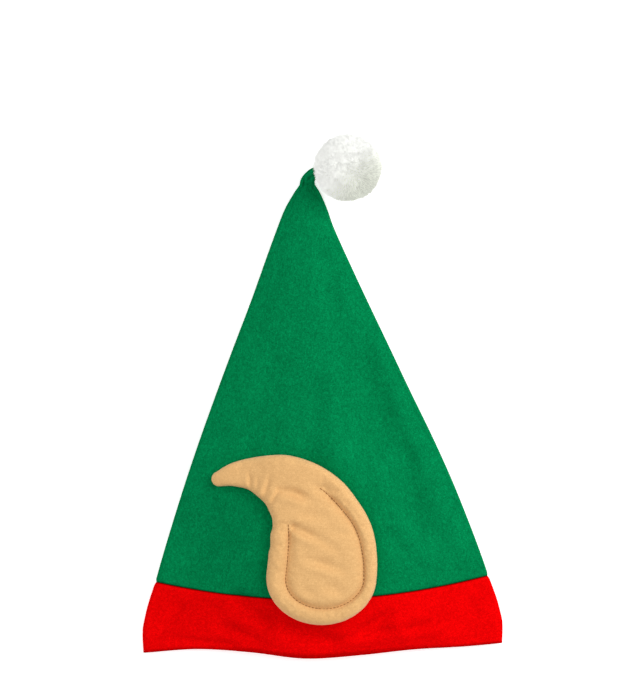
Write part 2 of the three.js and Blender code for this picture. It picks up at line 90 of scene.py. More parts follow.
def mix(low: np.ndarray | float, high: np.ndarray | float, share: np.ndarray | float) -> np.ndarray:
    """Returns the value that lies at a share of the way from low to high."""
    return low + (np.asarray(high, float) - low) * share


def cloud(x: np.ndarray, y: np.ndarray, size: float, seed: int) -> np.ndarray:
    """Soft random bumps over a plane.

    Args:
        x: Places along X.
        y: Places along Y.
        size: Distance from one bump to the next.
        seed: Chooses the pattern.

    Returns:
        Values from -1 to 1.
    """
    cells = 64
    grid = np.random.default_rng(seed).uniform(-1, 1, (cells, cells))
    u, v = np.asarray(x) / size, np.asarray(y) / size
    i, j = np.floor(u).astype(int), np.floor(v).astype(int)
    s, t = smooth(u - i, 0, 1), smooth(v - j, 0, 1)
    corner = [[grid[(i + a) % cells, (j + b) % cells] for b in (0, 1)] for a in (0, 1)]
    return mix(mix(corner[0][0], corner[1][0], s), mix(corner[0][1], corner[1][1], s), t)


@dataclass(frozen=True)
class Table:
    """Named columns over a first column, read between the rows by a smooth cubic."""

    at: tuple[float, ...]
    columns: dict[str, tuple[float, ...]]

    def read(self, name: str, at: np.ndarray | float) -> np.ndarray:
        """Reads one column.

        Args:
            name: The column.
            at: Places in the first column.

        Returns:
            The column's values there.
        """
        rows, values = np.array(self.at), np.array(self.columns[name])
        number = np.arange(len(rows))
        before, after = np.maximum(number - 1, 0), np.minimum(number + 1, len(rows) - 1)
        slope = (values[after] - values[before]) / (rows[after] - rows[before])
        place = np.clip(np.asarray(at, float), rows[0], rows[-1])
        i = np.clip(np.searchsorted(rows, place, side="right") - 1, 0, len(rows) - 2)
        span = rows[i + 1] - rows[i]
        t = (place - rows[i]) / span
        return (
            values[i] * (2 * t**3 - 3 * t**2 + 1)
            + slope[i] * span * (t**3 - 2 * t**2 + t)
            + values[i + 1] * (3 * t**2 - 2 * t**3)
            + slope[i + 1] * span * (t**3 - t**2)
        )


@dataclass(frozen=True)
class Crease:
    """A straight soft fold in the plan, as shares of two named lengths.

    It runs from (across, along) to (end_across, end_along). width and depth are shares of the usual ones,
    and a depth above 0 is a ridge. Beside a crease with a lip, the cloth stands up a little. It grows from
    nothing over its first part, the taper, a share of its length, and fades over the ending.
    """

    LIP_PLACE = 1.5  # how far beside the crease its lip stands, in shares of the width

    across: float
    along: float
    end_across: float
    end_along: float
    width: float
    depth: float
    lip: float = 0.0
    taper: float = 0.0
    ending: float = 0.0

    def height(self, x: np.ndarray, y: np.ndarray, scale: tuple[float, float], usual: float) -> np.ndarray:
        """Height that the crease adds.

        Args:
            x: Places across, in metres from the table's middle.
            y: Places along, in metres from the table's start.
            scale: The lengths that across and along are shares of.
            usual: The usual width in metres.

        Returns:
            The height, as a share of the usual depth.
        """
        start = np.array([self.across * scale[0], self.along * scale[1]])
        run = np.array([self.end_across * scale[0], self.end_along * scale[1]]) - start
        length = float(np.hypot(*run))
        way = run / length
        dx, dy = x - start[0], y - start[1]
        share = np.clip((dx * way[0] + dy * way[1]) / length, 0, 1)
        away = np.hypot(dx - share * run[0], dy - share * run[1]) / (self.width * usual)
        side = (dx * way[1] - dy * way[0]) / (self.width * usual)
        fade = np.exp(-(away**2))
        raised = self.lip * np.exp(-((side - self.LIP_PLACE) ** 2)) * np.exp(-((away - np.abs(side)) ** 2))
        grown = smooth(share, 0, self.taper) if self.taper else 1.0
        faded = smooth(1 - share, 0, self.ending) if self.ending else 1.0
        return self.depth * (fade - raised) * grown * faded


def distance_to_line(points: np.ndarray, line: np.ndarray) -> tuple[np.ndarray, np.ndarray]:
    """Distance from points of a plane to an open line.

    Args:
        points: The points, one a row.
        line: The line's corners, one a row.

    Returns:
        The distance of each point, and how far along the line its nearest point lies.
    """
    start, run = line[:-1], np.diff(line, axis=0)
    lengths = np.hypot(run[:, 0], run[:, 1])
    begun = np.concatenate([[0.0], np.cumsum(lengths)[:-1]])
    nearest = np.full(len(points), np.inf)
    along = np.zeros(len(points))
    for a, r, length, so_far in zip(start, run, lengths, begun):
        offset = points - a
        share = np.clip(offset @ r / length**2, 0, 1)
        away = np.hypot(*(offset - share[:, None] * r).T)
        closer = away < nearest
        nearest[closer] = away[closer]
        along[closer] = so_far + share[closer] * length
    return nearest, along


def new_object(name: str, points: np.ndarray, faces: Sequence[Sequence[int]]) -> bpy.types.Object:
    """A smooth mesh object whose doubles are merged and whose faces point outwards.

    Args:
        name: The object's name.
        points: Its corners, one a row.
        faces: The numbers of each face's corners.

    Returns:
        The object, linked to the scene.
    """
    mesh = bpy.data.meshes.new(name)
    mesh.from_pydata(np.asarray(points).tolist(), [], [list(map(int, face)) for face in faces])
    shape = bmesh.new()
    shape.from_mesh(mesh)
    bmesh.ops.remove_doubles(shape, verts=shape.verts, dist=MERGE)
    bmesh.ops.dissolve_degenerate(shape, edges=shape.edges, dist=SLIVER)
    bmesh.ops.recalc_face_normals(shape, faces=shape.faces)
    shape.to_mesh(mesh)
    shape.free()
    mesh.polygons.foreach_set("use_smooth", [True] * len(mesh.polygons))
    thing = bpy.data.objects.new(name, mesh)
    bpy.context.scene.collection.objects.link(thing)
    return thing


class Ends(Enum):
    """How the two ends of a loft are closed."""

    CAPPED = "capped"  # by a fan of faces round a middle
    JOINED = "joined"  # the last ring meets the first
    FOLDED = "folded"  # both rings lie folded flat already


def loft(name: str, rings: Sequence[np.ndarray], ends: Ends = Ends.CAPPED) -> bpy.types.Object:
    """A surface through rings of equally many points.

    Args:
        name: The object's name.
        rings: The rings, in order.
        ends: How the surface is closed.

    Returns:
        The object.
    """
    count = len(rings[0])
    points = np.concatenate(rings)
    around = np.arange(count)
    after = (around + 1) % count
    pairs = [(i, i + 1) for i in range(len(rings) - 1)]
    if ends is Ends.JOINED:
        pairs.append((len(rings) - 1, 0))
    faces: list[Sequence[int]] = []
    for a, b in pairs:
        quads = np.stack([a * count + around, a * count + after, b * count + after, b * count + around], 1)
        faces.extend(quads.tolist())
    if ends is Ends.CAPPED:
        middles = np.array([rings[0].mean(0), rings[-1].mean(0)])
        for end, first in enumerate((0, (len(rings) - 1) * count)):
            faces.extend([first + i, first + j, len(points) + end] for i, j in zip(around, after))
        points = np.concatenate([points, middles])
    return new_object(name, points, faces)


def coordinates(thing: bpy.types.Object) -> np.ndarray:
    """Reads a mesh object's corners.

    Args:
        thing: The object.

    Returns:
        Its corners, one a row.
    """
    places = np.empty(len(thing.data.vertices) * 3)
    thing.data.vertices.foreach_get("co", places)
    return places.reshape(-1, 3)


def set_coordinates(thing: bpy.types.Object, places: np.ndarray) -> None:
    """Moves the corners of a mesh object to new places, one a row."""
    thing.data.vertices.foreach_set("co", np.asarray(places, float).ravel())
    thing.data.update()


def apply_modifiers(thing: bpy.types.Object) -> None:
    """Turns what an object's modifiers make into its plain mesh, and removes them.

    Args:
        thing: The object.
    """
    graph = bpy.context.evaluated_depsgraph_get()
    made = bpy.data.meshes.new_from_object(thing.evaluated_get(graph), depsgraph=graph)
    thing.modifiers.clear()
    old, thing.data = thing.data, made
    made.name = thing.name
    bpy.data.meshes.remove(old)


def drop(thing: bpy.types.Object) -> None:
    """Deletes a helper object and its mesh.

    Args:
        thing: The object.
    """
    mesh = thing.data
    bpy.data.objects.remove(thing, do_unlink=True)
    bpy.data.meshes.remove(mesh)


class Mixed(Enum):
    """What a Mix node mixes, with the numbers of its two inputs and of its result."""

    RGBA = (6, 7, 2)
    VECTOR = (4, 5, 1)


class NodeTree:
    """A node tree that is built a node at a time."""

    def __init__(self, tree: bpy.types.NodeTree) -> None:
        """Starts with an empty tree."""
        self.tree = tree
        self.tree.nodes.clear()

    def add(self, kind: str, settings: dict[str, Any] | None = None, **inputs: Any) -> bpy.types.Node:
        """Adds a node.

        Args:
            kind: Blender's name of the node type.
            settings: Properties of the node.
            inputs: Its sockets by name, with _ for a space. A socket is linked, and any other value is set.

        Returns:
            The node.
        """
        node = self.tree.nodes.new(kind)
        for name, value in (settings or {}).items():
            setattr(node, name, value)
        for name, value in inputs.items():
            self.set(node.inputs[name.replace("_", " ")], value)
        return node

    def set(self, socket: bpy.types.NodeSocket, value: Any) -> None:
        """Links a socket to another one, or sets its value.

        Args:
            socket: The input to set.
            value: A node's output, or a plain value.
        """
        if isinstance(value, bpy.types.NodeSocket):
            self.tree.links.new(value, socket)
        else:
            socket.default_value = value

    def math(self, operation: str, first: Any, second: Any = 0.0) -> bpy.types.NodeSocket:
        """Adds a Math node.

        Args:
            operation: What it does.
            first: Its first value or socket.
            second: Its second one.

        Returns:
            The result's socket.
        """
        node = self.add("ShaderNodeMath", {"operation": operation})
        self.set(node.inputs[0], first)
        self.set(node.inputs[1], second)
        return node.outputs[0]

    def vector(self, operation: str, first: Any, second: Any = (0.0, 0.0, 0.0)) -> bpy.types.NodeSocket:
        """Adds a Vector Math node.

        Args:
            operation: What it does.
            first: Its first vector or socket.
            second: Its second one, or the factor of SCALE.

        Returns:
            The result's socket.
        """
        node = self.add("ShaderNodeVectorMath", {"operation": operation})
        self.set(node.inputs[0], first)
        self.set(node.inputs["Scale" if operation == "SCALE" else 1], second)
        return node.outputs["Value" if operation == "DOT_PRODUCT" else "Vector"]

    def mix(
        self, kind: Mixed, share: Any, first: Any, second: Any, blend: str = "MIX"
    ) -> bpy.types.NodeSocket:
        """Adds a Mix node.

        Args:
            kind: What it mixes.
            share: How much of the second there is.
            first: The first value or socket.
            second: The second one.
            blend: How colours are blended.

        Returns:
            The result's socket.
        """
        node = self.add("ShaderNodeMix", {"data_type": kind.name, "blend_type": blend})
        first_input, second_input, result = kind.value
        for number, value in ((0, share), (first_input, first), (second_input, second)):
            self.set(node.inputs[number], value)
        return node.outputs[result]


class FibreGroup:
    """A shader group: short fibres that lie mostly one way, in soft clouds, as on brushed felt."""

    NAME = "brushed_fibres"
    INPUTS = (
        ("Vector", "Vector"),
        ("Dark", "Color"),
        ("Light", "Color"),
        ("Fibre Scale", "Float"),
        ("Cloud Scale", "Float"),
        ("Contrast", "Float"),
    )
    OUTPUTS = (("Color", "Color"), ("Height", "Float"))
    FIBRES = {"Detail": 5.0, "Roughness": 0.62, "Distortion": 0.6}
    FLECKS = {"Detail": 2.0}
    CLOUDS = {"Detail": 4.0, "Roughness": 0.6}
    FLECK_RATIO = 2.7  # how much finer the flecks are than the fibres
    FLECK_HEIGHT = 0.5  # and how high, as a share of the fibres
    MIDDLE = 0.5  # of what a noise gives, and of the way from dark to light
    SPARSE = 1.6  # above 1, light flecks are few on a darker ground
    SHARES = (0.42, 0.13, 0.45)  # of fibres, clouds and flecks in the colour

    @classmethod
    def get(cls) -> bpy.types.NodeTree:
        """Returns the group, which is built at the first call."""
        return bpy.data.node_groups.get(cls.NAME) or cls.build()

    @classmethod
    def build(cls) -> bpy.types.NodeTree:
        """Builds the group.

        Returns:
            The node tree, with a colour and a height as its outputs.
        """
        tree = bpy.data.node_groups.new(cls.NAME, "ShaderNodeTree")
        for way, sockets in (("INPUT", cls.INPUTS), ("OUTPUT", cls.OUTPUTS)):
            for label, kind in sockets:
                tree.interface.new_socket(label, in_out=way, socket_type=f"NodeSocket{kind}")
        nodes = NodeTree(tree)
        given = nodes.add("NodeGroupInput").outputs
        fleck_scale = nodes.math("MULTIPLY", given["Fibre Scale"], cls.FLECK_RATIO)
        fibres, clouds, flecks = (
            nodes.add("ShaderNodeTexNoise", Vector=given["Vector"], Scale=scale, **look).outputs["Fac"]
            for scale, look in (
                (given["Fibre Scale"], cls.FIBRES),
                (given["Cloud Scale"], cls.CLOUDS),
                (fleck_scale, cls.FLECKS),
            )
        )
        parts = [
            nodes.math("MULTIPLY", nodes.math("SUBTRACT", source, cls.MIDDLE), share)
            for source, share in zip((fibres, clouds, flecks), cls.SHARES)
        ]
        total = nodes.math("ADD", nodes.math("ADD", parts[0], parts[1]), parts[2])
        spread = nodes.math("MULTIPLY", total, given["Contrast"])
        share = nodes.add("ShaderNodeMath", {"operation": "ADD", "use_clamp": True})
        nodes.set(share.inputs[0], spread)
        nodes.set(share.inputs[1], cls.MIDDLE)
        sparse = nodes.math("POWER", share.outputs[0], cls.SPARSE)
        colour = nodes.mix(Mixed.RGBA, sparse, given["Dark"], given["Light"])
        height = nodes.math("ADD", fibres, nodes.math("MULTIPLY", flecks, cls.FLECK_HEIGHT))
        result = nodes.add("NodeGroupOutput")
        nodes.set(result.inputs["Color"], colour)
        nodes.set(result.inputs["Height"], height)
        return tree


@dataclass(frozen=True)
class ClothFinish:
    """A finish of felt, velour, thread or yarn: two shades of fibres, their grain and their sheen."""

    name: str
    dark: tuple[float, float, float]
    light: tuple[float, float, float]
    fibre_size: float
    cloud_size: float
    streak: float = 1.0  # how much longer the fibres look along Y than across it
    contrast: float = 2.0
    bump: float = 0.1 * MM
    sheen: float = 0.0
    sheen_tint: tuple[float, float, float] = (1.0, 1.0, 1.0)
    sheen_roughness: float = 0.45
    roughness: float = 0.95
    specular: float = 0.0
    rib_size: float = 0.0  # spacing of fine knitted ribs across the piece, or 0 for none
    rib_share: float = 0.0  # their height, as a share of the fibres'
    rib_waver: float = 1.5
    rib_detail: float = 2.0
    painted_glow: float = 0.0  # painted light: the cloth glows with this share of its own colour, in place of light that shines through thin fibres
    edge_shade: float = 0.0  # painted shade: how much darker the colour is made where the edge attribute is 1

    def material(self) -> bpy.types.Material:
        """Returns the material, which is built at the first call."""
        return bpy.data.materials.get(self.name) or self.build()

    def build(self) -> bpy.types.Material:
        """Builds the material from Object coordinates.

        Returns:
            The material.
        """
        material = bpy.data.materials.new(self.name)
        material.use_nodes = True
        nodes = NodeTree(material.node_tree)
        place = nodes.add("ShaderNodeTexCoord").outputs["Object"]
        grain = nodes.add("ShaderNodeMapping", Vector=place, Scale=(1.0, 1.0 / self.streak, 1.0))
        fibres = nodes.add("ShaderNodeGroup", {"node_tree": FibreGroup.get()})
        nodes.set(fibres.inputs["Vector"], grain.outputs["Vector"])
        nodes.set(fibres.inputs["Dark"], (*self.dark, 1.0))
        nodes.set(fibres.inputs["Light"], (*self.light, 1.0))
        nodes.set(fibres.inputs["Fibre Scale"], 1 / self.fibre_size)
        nodes.set(fibres.inputs["Cloud Scale"], 1 / self.cloud_size)
        nodes.set(fibres.inputs["Contrast"], self.contrast)
        height = fibres.outputs["Height"]
        if self.rib_size:
            height = nodes.math("ADD", height, self.ribs(nodes, place))
        bump = nodes.add("ShaderNodeBump", Height=height, Strength=1.0, Distance=self.bump)
        bump_from = self.normal(nodes, place)
        if bump_from:
            nodes.set(bump.inputs["Normal"], bump_from)
        colour = self.tint(nodes, place, fibres.outputs["Color"])
        # The emission is painted light: the cloth glows with a share of its own colour.
        shader = nodes.add(
            "ShaderNodeBsdfPrincipled",
            Base_Color=colour,
            Emission_Color=colour,
            Emission_Strength=self.painted_glow,
            Normal=bump.outputs["Normal"],
            Roughness=self.roughness,
            Sheen_Weight=self.sheen,
            Sheen_Roughness=self.sheen_roughness,
            Sheen_Tint=(*self.sheen_tint, 1.0),
            Specular_IOR_Level=self.specular,
        )
        nodes.add("ShaderNodeOutputMaterial", Surface=shader.outputs["BSDF"])
        return material

    def ribs(self, nodes: NodeTree, place: bpy.types.NodeSocket) -> bpy.types.NodeSocket:
        """Adds the fine knitted ribs.

        Args:
            nodes: The material's nodes.
            place: Object coordinates.

        Returns:
            Their height.
        """
        wave = nodes.add(
            "ShaderNodeTexWave",
            {"wave_type": "BANDS", "bands_direction": "Y"},
            Vector=place,
            Scale=WAVE_PERIOD / self.rib_size,
            Distortion=self.rib_waver,
            Detail=self.rib_detail,
        )
        return nodes.math("MULTIPLY", wave.outputs["Fac"], self.rib_share)

    def tint(
        self, nodes: NodeTree, place: bpy.types.NodeSocket, colour: bpy.types.NodeSocket
    ) -> bpy.types.NodeSocket:
        """Paints shade into the colour along seams and cut edges.

        Args:
            nodes: The material's nodes.
            place: Object coordinates.
            colour: The cloth's colour.

        Returns:
            The colour with its painted shade.
        """
        if not self.edge_shade:
            return colour
        near = nodes.add("ShaderNodeAttribute", {"attribute_name": PAINTED_EDGE_SHADE})
        left = nodes.math("SUBTRACT", 1.0, nodes.math("MULTIPLY", near.outputs["Fac"], self.edge_shade))
        return nodes.vector("SCALE", colour, left)

    def normal(self, nodes: NodeTree, place: bpy.types.NodeSocket) -> bpy.types.NodeSocket | None:
        """Returns nothing, for the surface's own normals. Other finishes turn them."""
        return None


@dataclass(frozen=True)
class YarnFinish(ClothFinish):
    """Yarn on a ball: the light follows the ball, and one side of it has painted shade."""

    middle: tuple[float, float, float] = (0.0, 0.0, 0.0)
    radius: float = 1.0
    roundness: float = 0.6  # from 0, the strands' own normals, to 1, the ball's
    # painted shade: the ball's colour is multiplied by shade towards shade_way, over shade_range of its
    # radius
    shade: tuple[float, float, float] = (1.0, 1.0, 1.0)
    shade_way: tuple[float, float, float] = (1.0, -1.0, 0.0)
    shade_range: tuple[float, float] = (-0.3, 1.2)
    dull: float = 0.6  # how bright the dullest strands are

    def outward(self, nodes: NodeTree, place: bpy.types.NodeSocket) -> bpy.types.NodeSocket:
        """Returns the way from the ball's middle, in shares of its radius."""
        return nodes.vector("SCALE", nodes.vector("SUBTRACT", place, self.middle), 1 / self.radius)

    def tint(
        self, nodes: NodeTree, place: bpy.types.NodeSocket, colour: bpy.types.NodeSocket
    ) -> bpy.types.NodeSocket:
        """Paints shade into one side of the ball's colour.

        Args:
            nodes: The material's nodes.
            place: Object coordinates.
            colour: The yarn's colour.

        Returns:
            The colour with its painted shade.
        """
        # Painted shade: darker towards shade_way, however the lamps fall.
        towards = nodes.vector("DOT_PRODUCT", self.outward(nodes, place), self.shade_way)
        low, high = self.shade_range
        share = nodes.add("ShaderNodeMapRange", {"interpolation_type": "SMOOTHSTEP"}, Value=towards)
        nodes.set(share.inputs["From Min"], low)
        nodes.set(share.inputs["From Max"], high)
        shaded = nodes.mix(Mixed.RGBA, share.outputs["Result"], colour, (*self.shade, 1.0), "MULTIPLY")
        own = nodes.add("ShaderNodeAttribute", {"attribute_name": TONE})
        bright = nodes.add("ShaderNodeMapRange", Value=own.outputs["Fac"], To_Min=self.dull)
        return nodes.vector("SCALE", shaded, bright.outputs["Result"])

    def normal(self, nodes: NodeTree, place: bpy.types.NodeSocket) -> bpy.types.NodeSocket:
        """Turns the strands' normals towards those of the ball that they make up.

        Args:
            nodes: The material's nodes.
            place: Object coordinates.

        Returns:
            The normals.
        """
        own = nodes.add("ShaderNodeNewGeometry").outputs["Normal"]
        both = nodes.mix(Mixed.VECTOR, self.roundness, own, self.outward(nodes, place))
        return nodes.vector("NORMALIZE", both)


GREEN_FELT = ClothFinish(
    name="brushed_green_felt",
    dark=(0.0004, 0.104, 0.032),
    light=(0.0014, 0.315, 0.102),
    fibre_size=1.9 * MM,
    cloud_size=15 * MM,
    streak=1.5,
    contrast=2.3,
    bump=0.30 * MM,
    sheen=0.03,
    sheen_tint=(0.0, 0.9, 0.45),
    # painted shade along the seam and the hem
    edge_shade=0.9,
)
RED_FELT = ClothFinish(
    name="brushed_red_felt",
    dark=(0.54, 0.0004, 0.0006),
    light=(1.0, 0.0018, 0.0024),
    fibre_size=2.1 * MM,
    cloud_size=16 * MM,
    contrast=3.0,
    bump=0.30 * MM,
    sheen=0.03,
    sheen_tint=(1.0, 0.05, 0.05),
    # painted shade along the seam and the hem
    edge_shade=0.9,
)
EAR_VELOUR = ClothFinish(
    name="ear_velour",
    dark=(0.615, 0.350, 0.140),
    light=(0.835, 0.515, 0.222),
    fibre_size=2.0 * MM,
    cloud_size=12 * MM,
    contrast=2.6,
    bump=0.14 * MM,
    sheen=0.28,
    sheen_tint=(1.0, 0.90, 0.80),
    rib_size=1.5 * MM,
    rib_share=0.5,
)
EAR_THREAD = ClothFinish(
    name="ear_thread",
    dark=(0.26, 0.10, 0.03),
    light=(0.36, 0.15, 0.05),
    fibre_size=0.6 * MM,
    cloud_size=5 * MM,
)


@dataclass
class EarPlan:
    """The outline and thickness of an ear, seen from above, in the hat's plan."""

    length: float = 142.6 * MM  # from the lobe's bottom to the top of the curve
    reach: float = 92 * MM  # from the lobe's middle to the pointed tip
    width: float = 92.4 * MM  # across the lobe
    thickness: float = 12 * MM  # at the crest of the stuffed rim
    above_hem: float = 26 * MM  # from the hem line to the lobe's bottom
    offset: float = -1.3 * MM  # of the lobe's middle from the hem's middle
    stitch_start_inner: float = 0.56  # where the stitches start on the hollow side, along the middle line
    stitch_start_outer: float = 0.48  # and on the round side
    stitch_fade: float = 0.2  # the channel grows to its full depth over this share
    side_steps: int = 60  # corners along each side of the traced outline
    lobe_steps: int = 48  # round the lobe
    tip_steps: int = 12  # and round the pointed tip
    insets: Table = field(  # from the edge to the stitches: round the lobe to 1, then up the round side
        default_factory=lambda: Table(
            (0.0, 0.25, 0.5, 0.75, 1.0, 1.2, 1.4, 2.0),
            {"inset": tuple(value * MM for value in (16.5, 15.2, 14.0, 12.6, 10.6, 13.4, 16.8, 13.5))},
        )
    )
    rows: Table = field(
        default_factory=lambda: Table(
            tuple(np.linspace(0, 1, 11)),
            {
                "across": (-0.931, -0.803, -0.651, -0.514, -0.367, -0.225, -0.119, -0.049, 0.0, 0.012, 0.0),
                "along": (0.857, 0.881, 0.887, 0.872, 0.839, 0.776, 0.696, 0.6, 0.493, 0.379, 0.278),
                "half": (0.141, 0.217, 0.294, 0.404, 0.532, 0.66, 0.781, 0.883, 0.962, 0.991, 1.0),
                "thick": (0.52, 0.6, 0.7, 0.8, 0.88, 0.95, 1.0, 1.0, 1.0, 1.0, 1.0),
            },
        )
    )

    def middle(self, at: np.ndarray) -> np.ndarray:
        """Points of the middle line.

        Args:
            at: Shares of its length, from the pointed tip at 0 to the lobe at 1.

        Returns:
            The points, one a row.
        """
        x = self.offset + self.rows.read("across", at) * self.reach
        y = self.above_hem + self.rows.read("along", at) * self.length
        return np.stack([x, y], 1)

    def half(self, at: np.ndarray) -> np.ndarray:
        """Returns the half width there."""
        return self.rows.read("half", at) * self.width / 2

    def thick(self, at: np.ndarray) -> np.ndarray:
        """Returns the thickness there."""
        return self.rows.read("thick", at) * self.thickness

    def side(self, at: np.ndarray) -> np.ndarray:
        """Directions from the middle line towards the ear's hollow side.

        Args:
            at: Shares of the middle line's length.

        Returns:
            The directions, one a row.
        """
        ahead, behind = self.middle(np.minimum(at + NEARBY, 1)), self.middle(np.maximum(at - NEARBY, 0))
        run = ahead - behind
        normal = np.stack([run[:, 1], -run[:, 0]], 1)
        return normal / np.hypot(*normal.T)[:, None]


@dataclass
class EarOutline:
    """Points round an ear's outline, and what the face is like inside each of them."""

    edge: np.ndarray
    facing: np.ndarray  # the point of the middle line that each one faces
    thick: np.ndarray
    channel: np.ndarray  # from 0, no stitches, to 1, full depth
    inset: np.ndarray  # of the stitches

    @classmethod
    def trace(cls, plan: EarPlan) -> "EarOutline":
        """Traces the outline down the hollow side, round the lobe, up the round side and round the tip.

        Args:
            plan: The ear.

        Returns:
            The outline.
        """
        down = np.arange(plan.side_steps) / plan.side_steps
        up = down[::-1]
        round_lobe = np.arange(plan.lobe_steps + 1) / plan.lobe_steps
        round_tip = np.arange(1, plan.tip_steps)
        lobe = plan.middle(np.array([1.0]))[0]
        turn = np.pi * (1 + round_lobe)
        half = float(plan.half(np.array([1.0]))[0])
        low = lobe[1] - plan.above_hem
        tip, tip_side = plan.middle(np.zeros(1))[0], plan.side(np.zeros(1))[0]
        tip_turn = math.atan2(-tip_side[1], -tip_side[0]) + np.pi * round_tip / plan.tip_steps
        tip_half = float(plan.half(np.zeros(1))[0])
        edges = [
            plan.middle(down) + plan.side(down) * plan.half(down)[:, None],
            lobe + np.stack([half * np.cos(turn), low * np.sin(turn)], 1),
            plan.middle(up) - plan.side(up) * plan.half(up)[:, None],
            tip + tip_half * np.stack([np.cos(tip_turn), np.sin(tip_turn)], 1),
        ]
        at = np.concatenate([down, np.ones(len(round_lobe)), up, np.zeros(len(round_tip))])
        way_round = [np.zeros(len(down)), round_lobe, 2 - up, 2 - 2 * round_tip / plan.tip_steps]
        inner = np.arange(len(at)) < plan.side_steps + plan.lobe_steps / 2
        start = np.where(inner, plan.stitch_start_inner, plan.stitch_start_outer)
        return cls(
            edge=np.concatenate(edges),
            facing=plan.middle(at),
            thick=plan.thick(at),
            channel=smooth((at - start) / plan.stitch_fade, 0, 1),
            inset=plan.insets.read("inset", np.concatenate(way_round)),
        )

    def ring(self, inset: float, clear: float, last: float) -> np.ndarray:
        """Points inside the outline.

        Args:
            inset: How far inside, in shares of the stitches' inset.
            clear: The most of the way to the middle line that the innermost ring may take up.
            last: The innermost ring's inset.

        Returns:
            The points, one a row.
        """
        reach = np.hypot(*(self.edge - self.facing).T)
        step = np.minimum(self.inset, clear * reach / last)
        return self.edge + (self.facing - self.edge) * (inset * step / reach)[:, None]


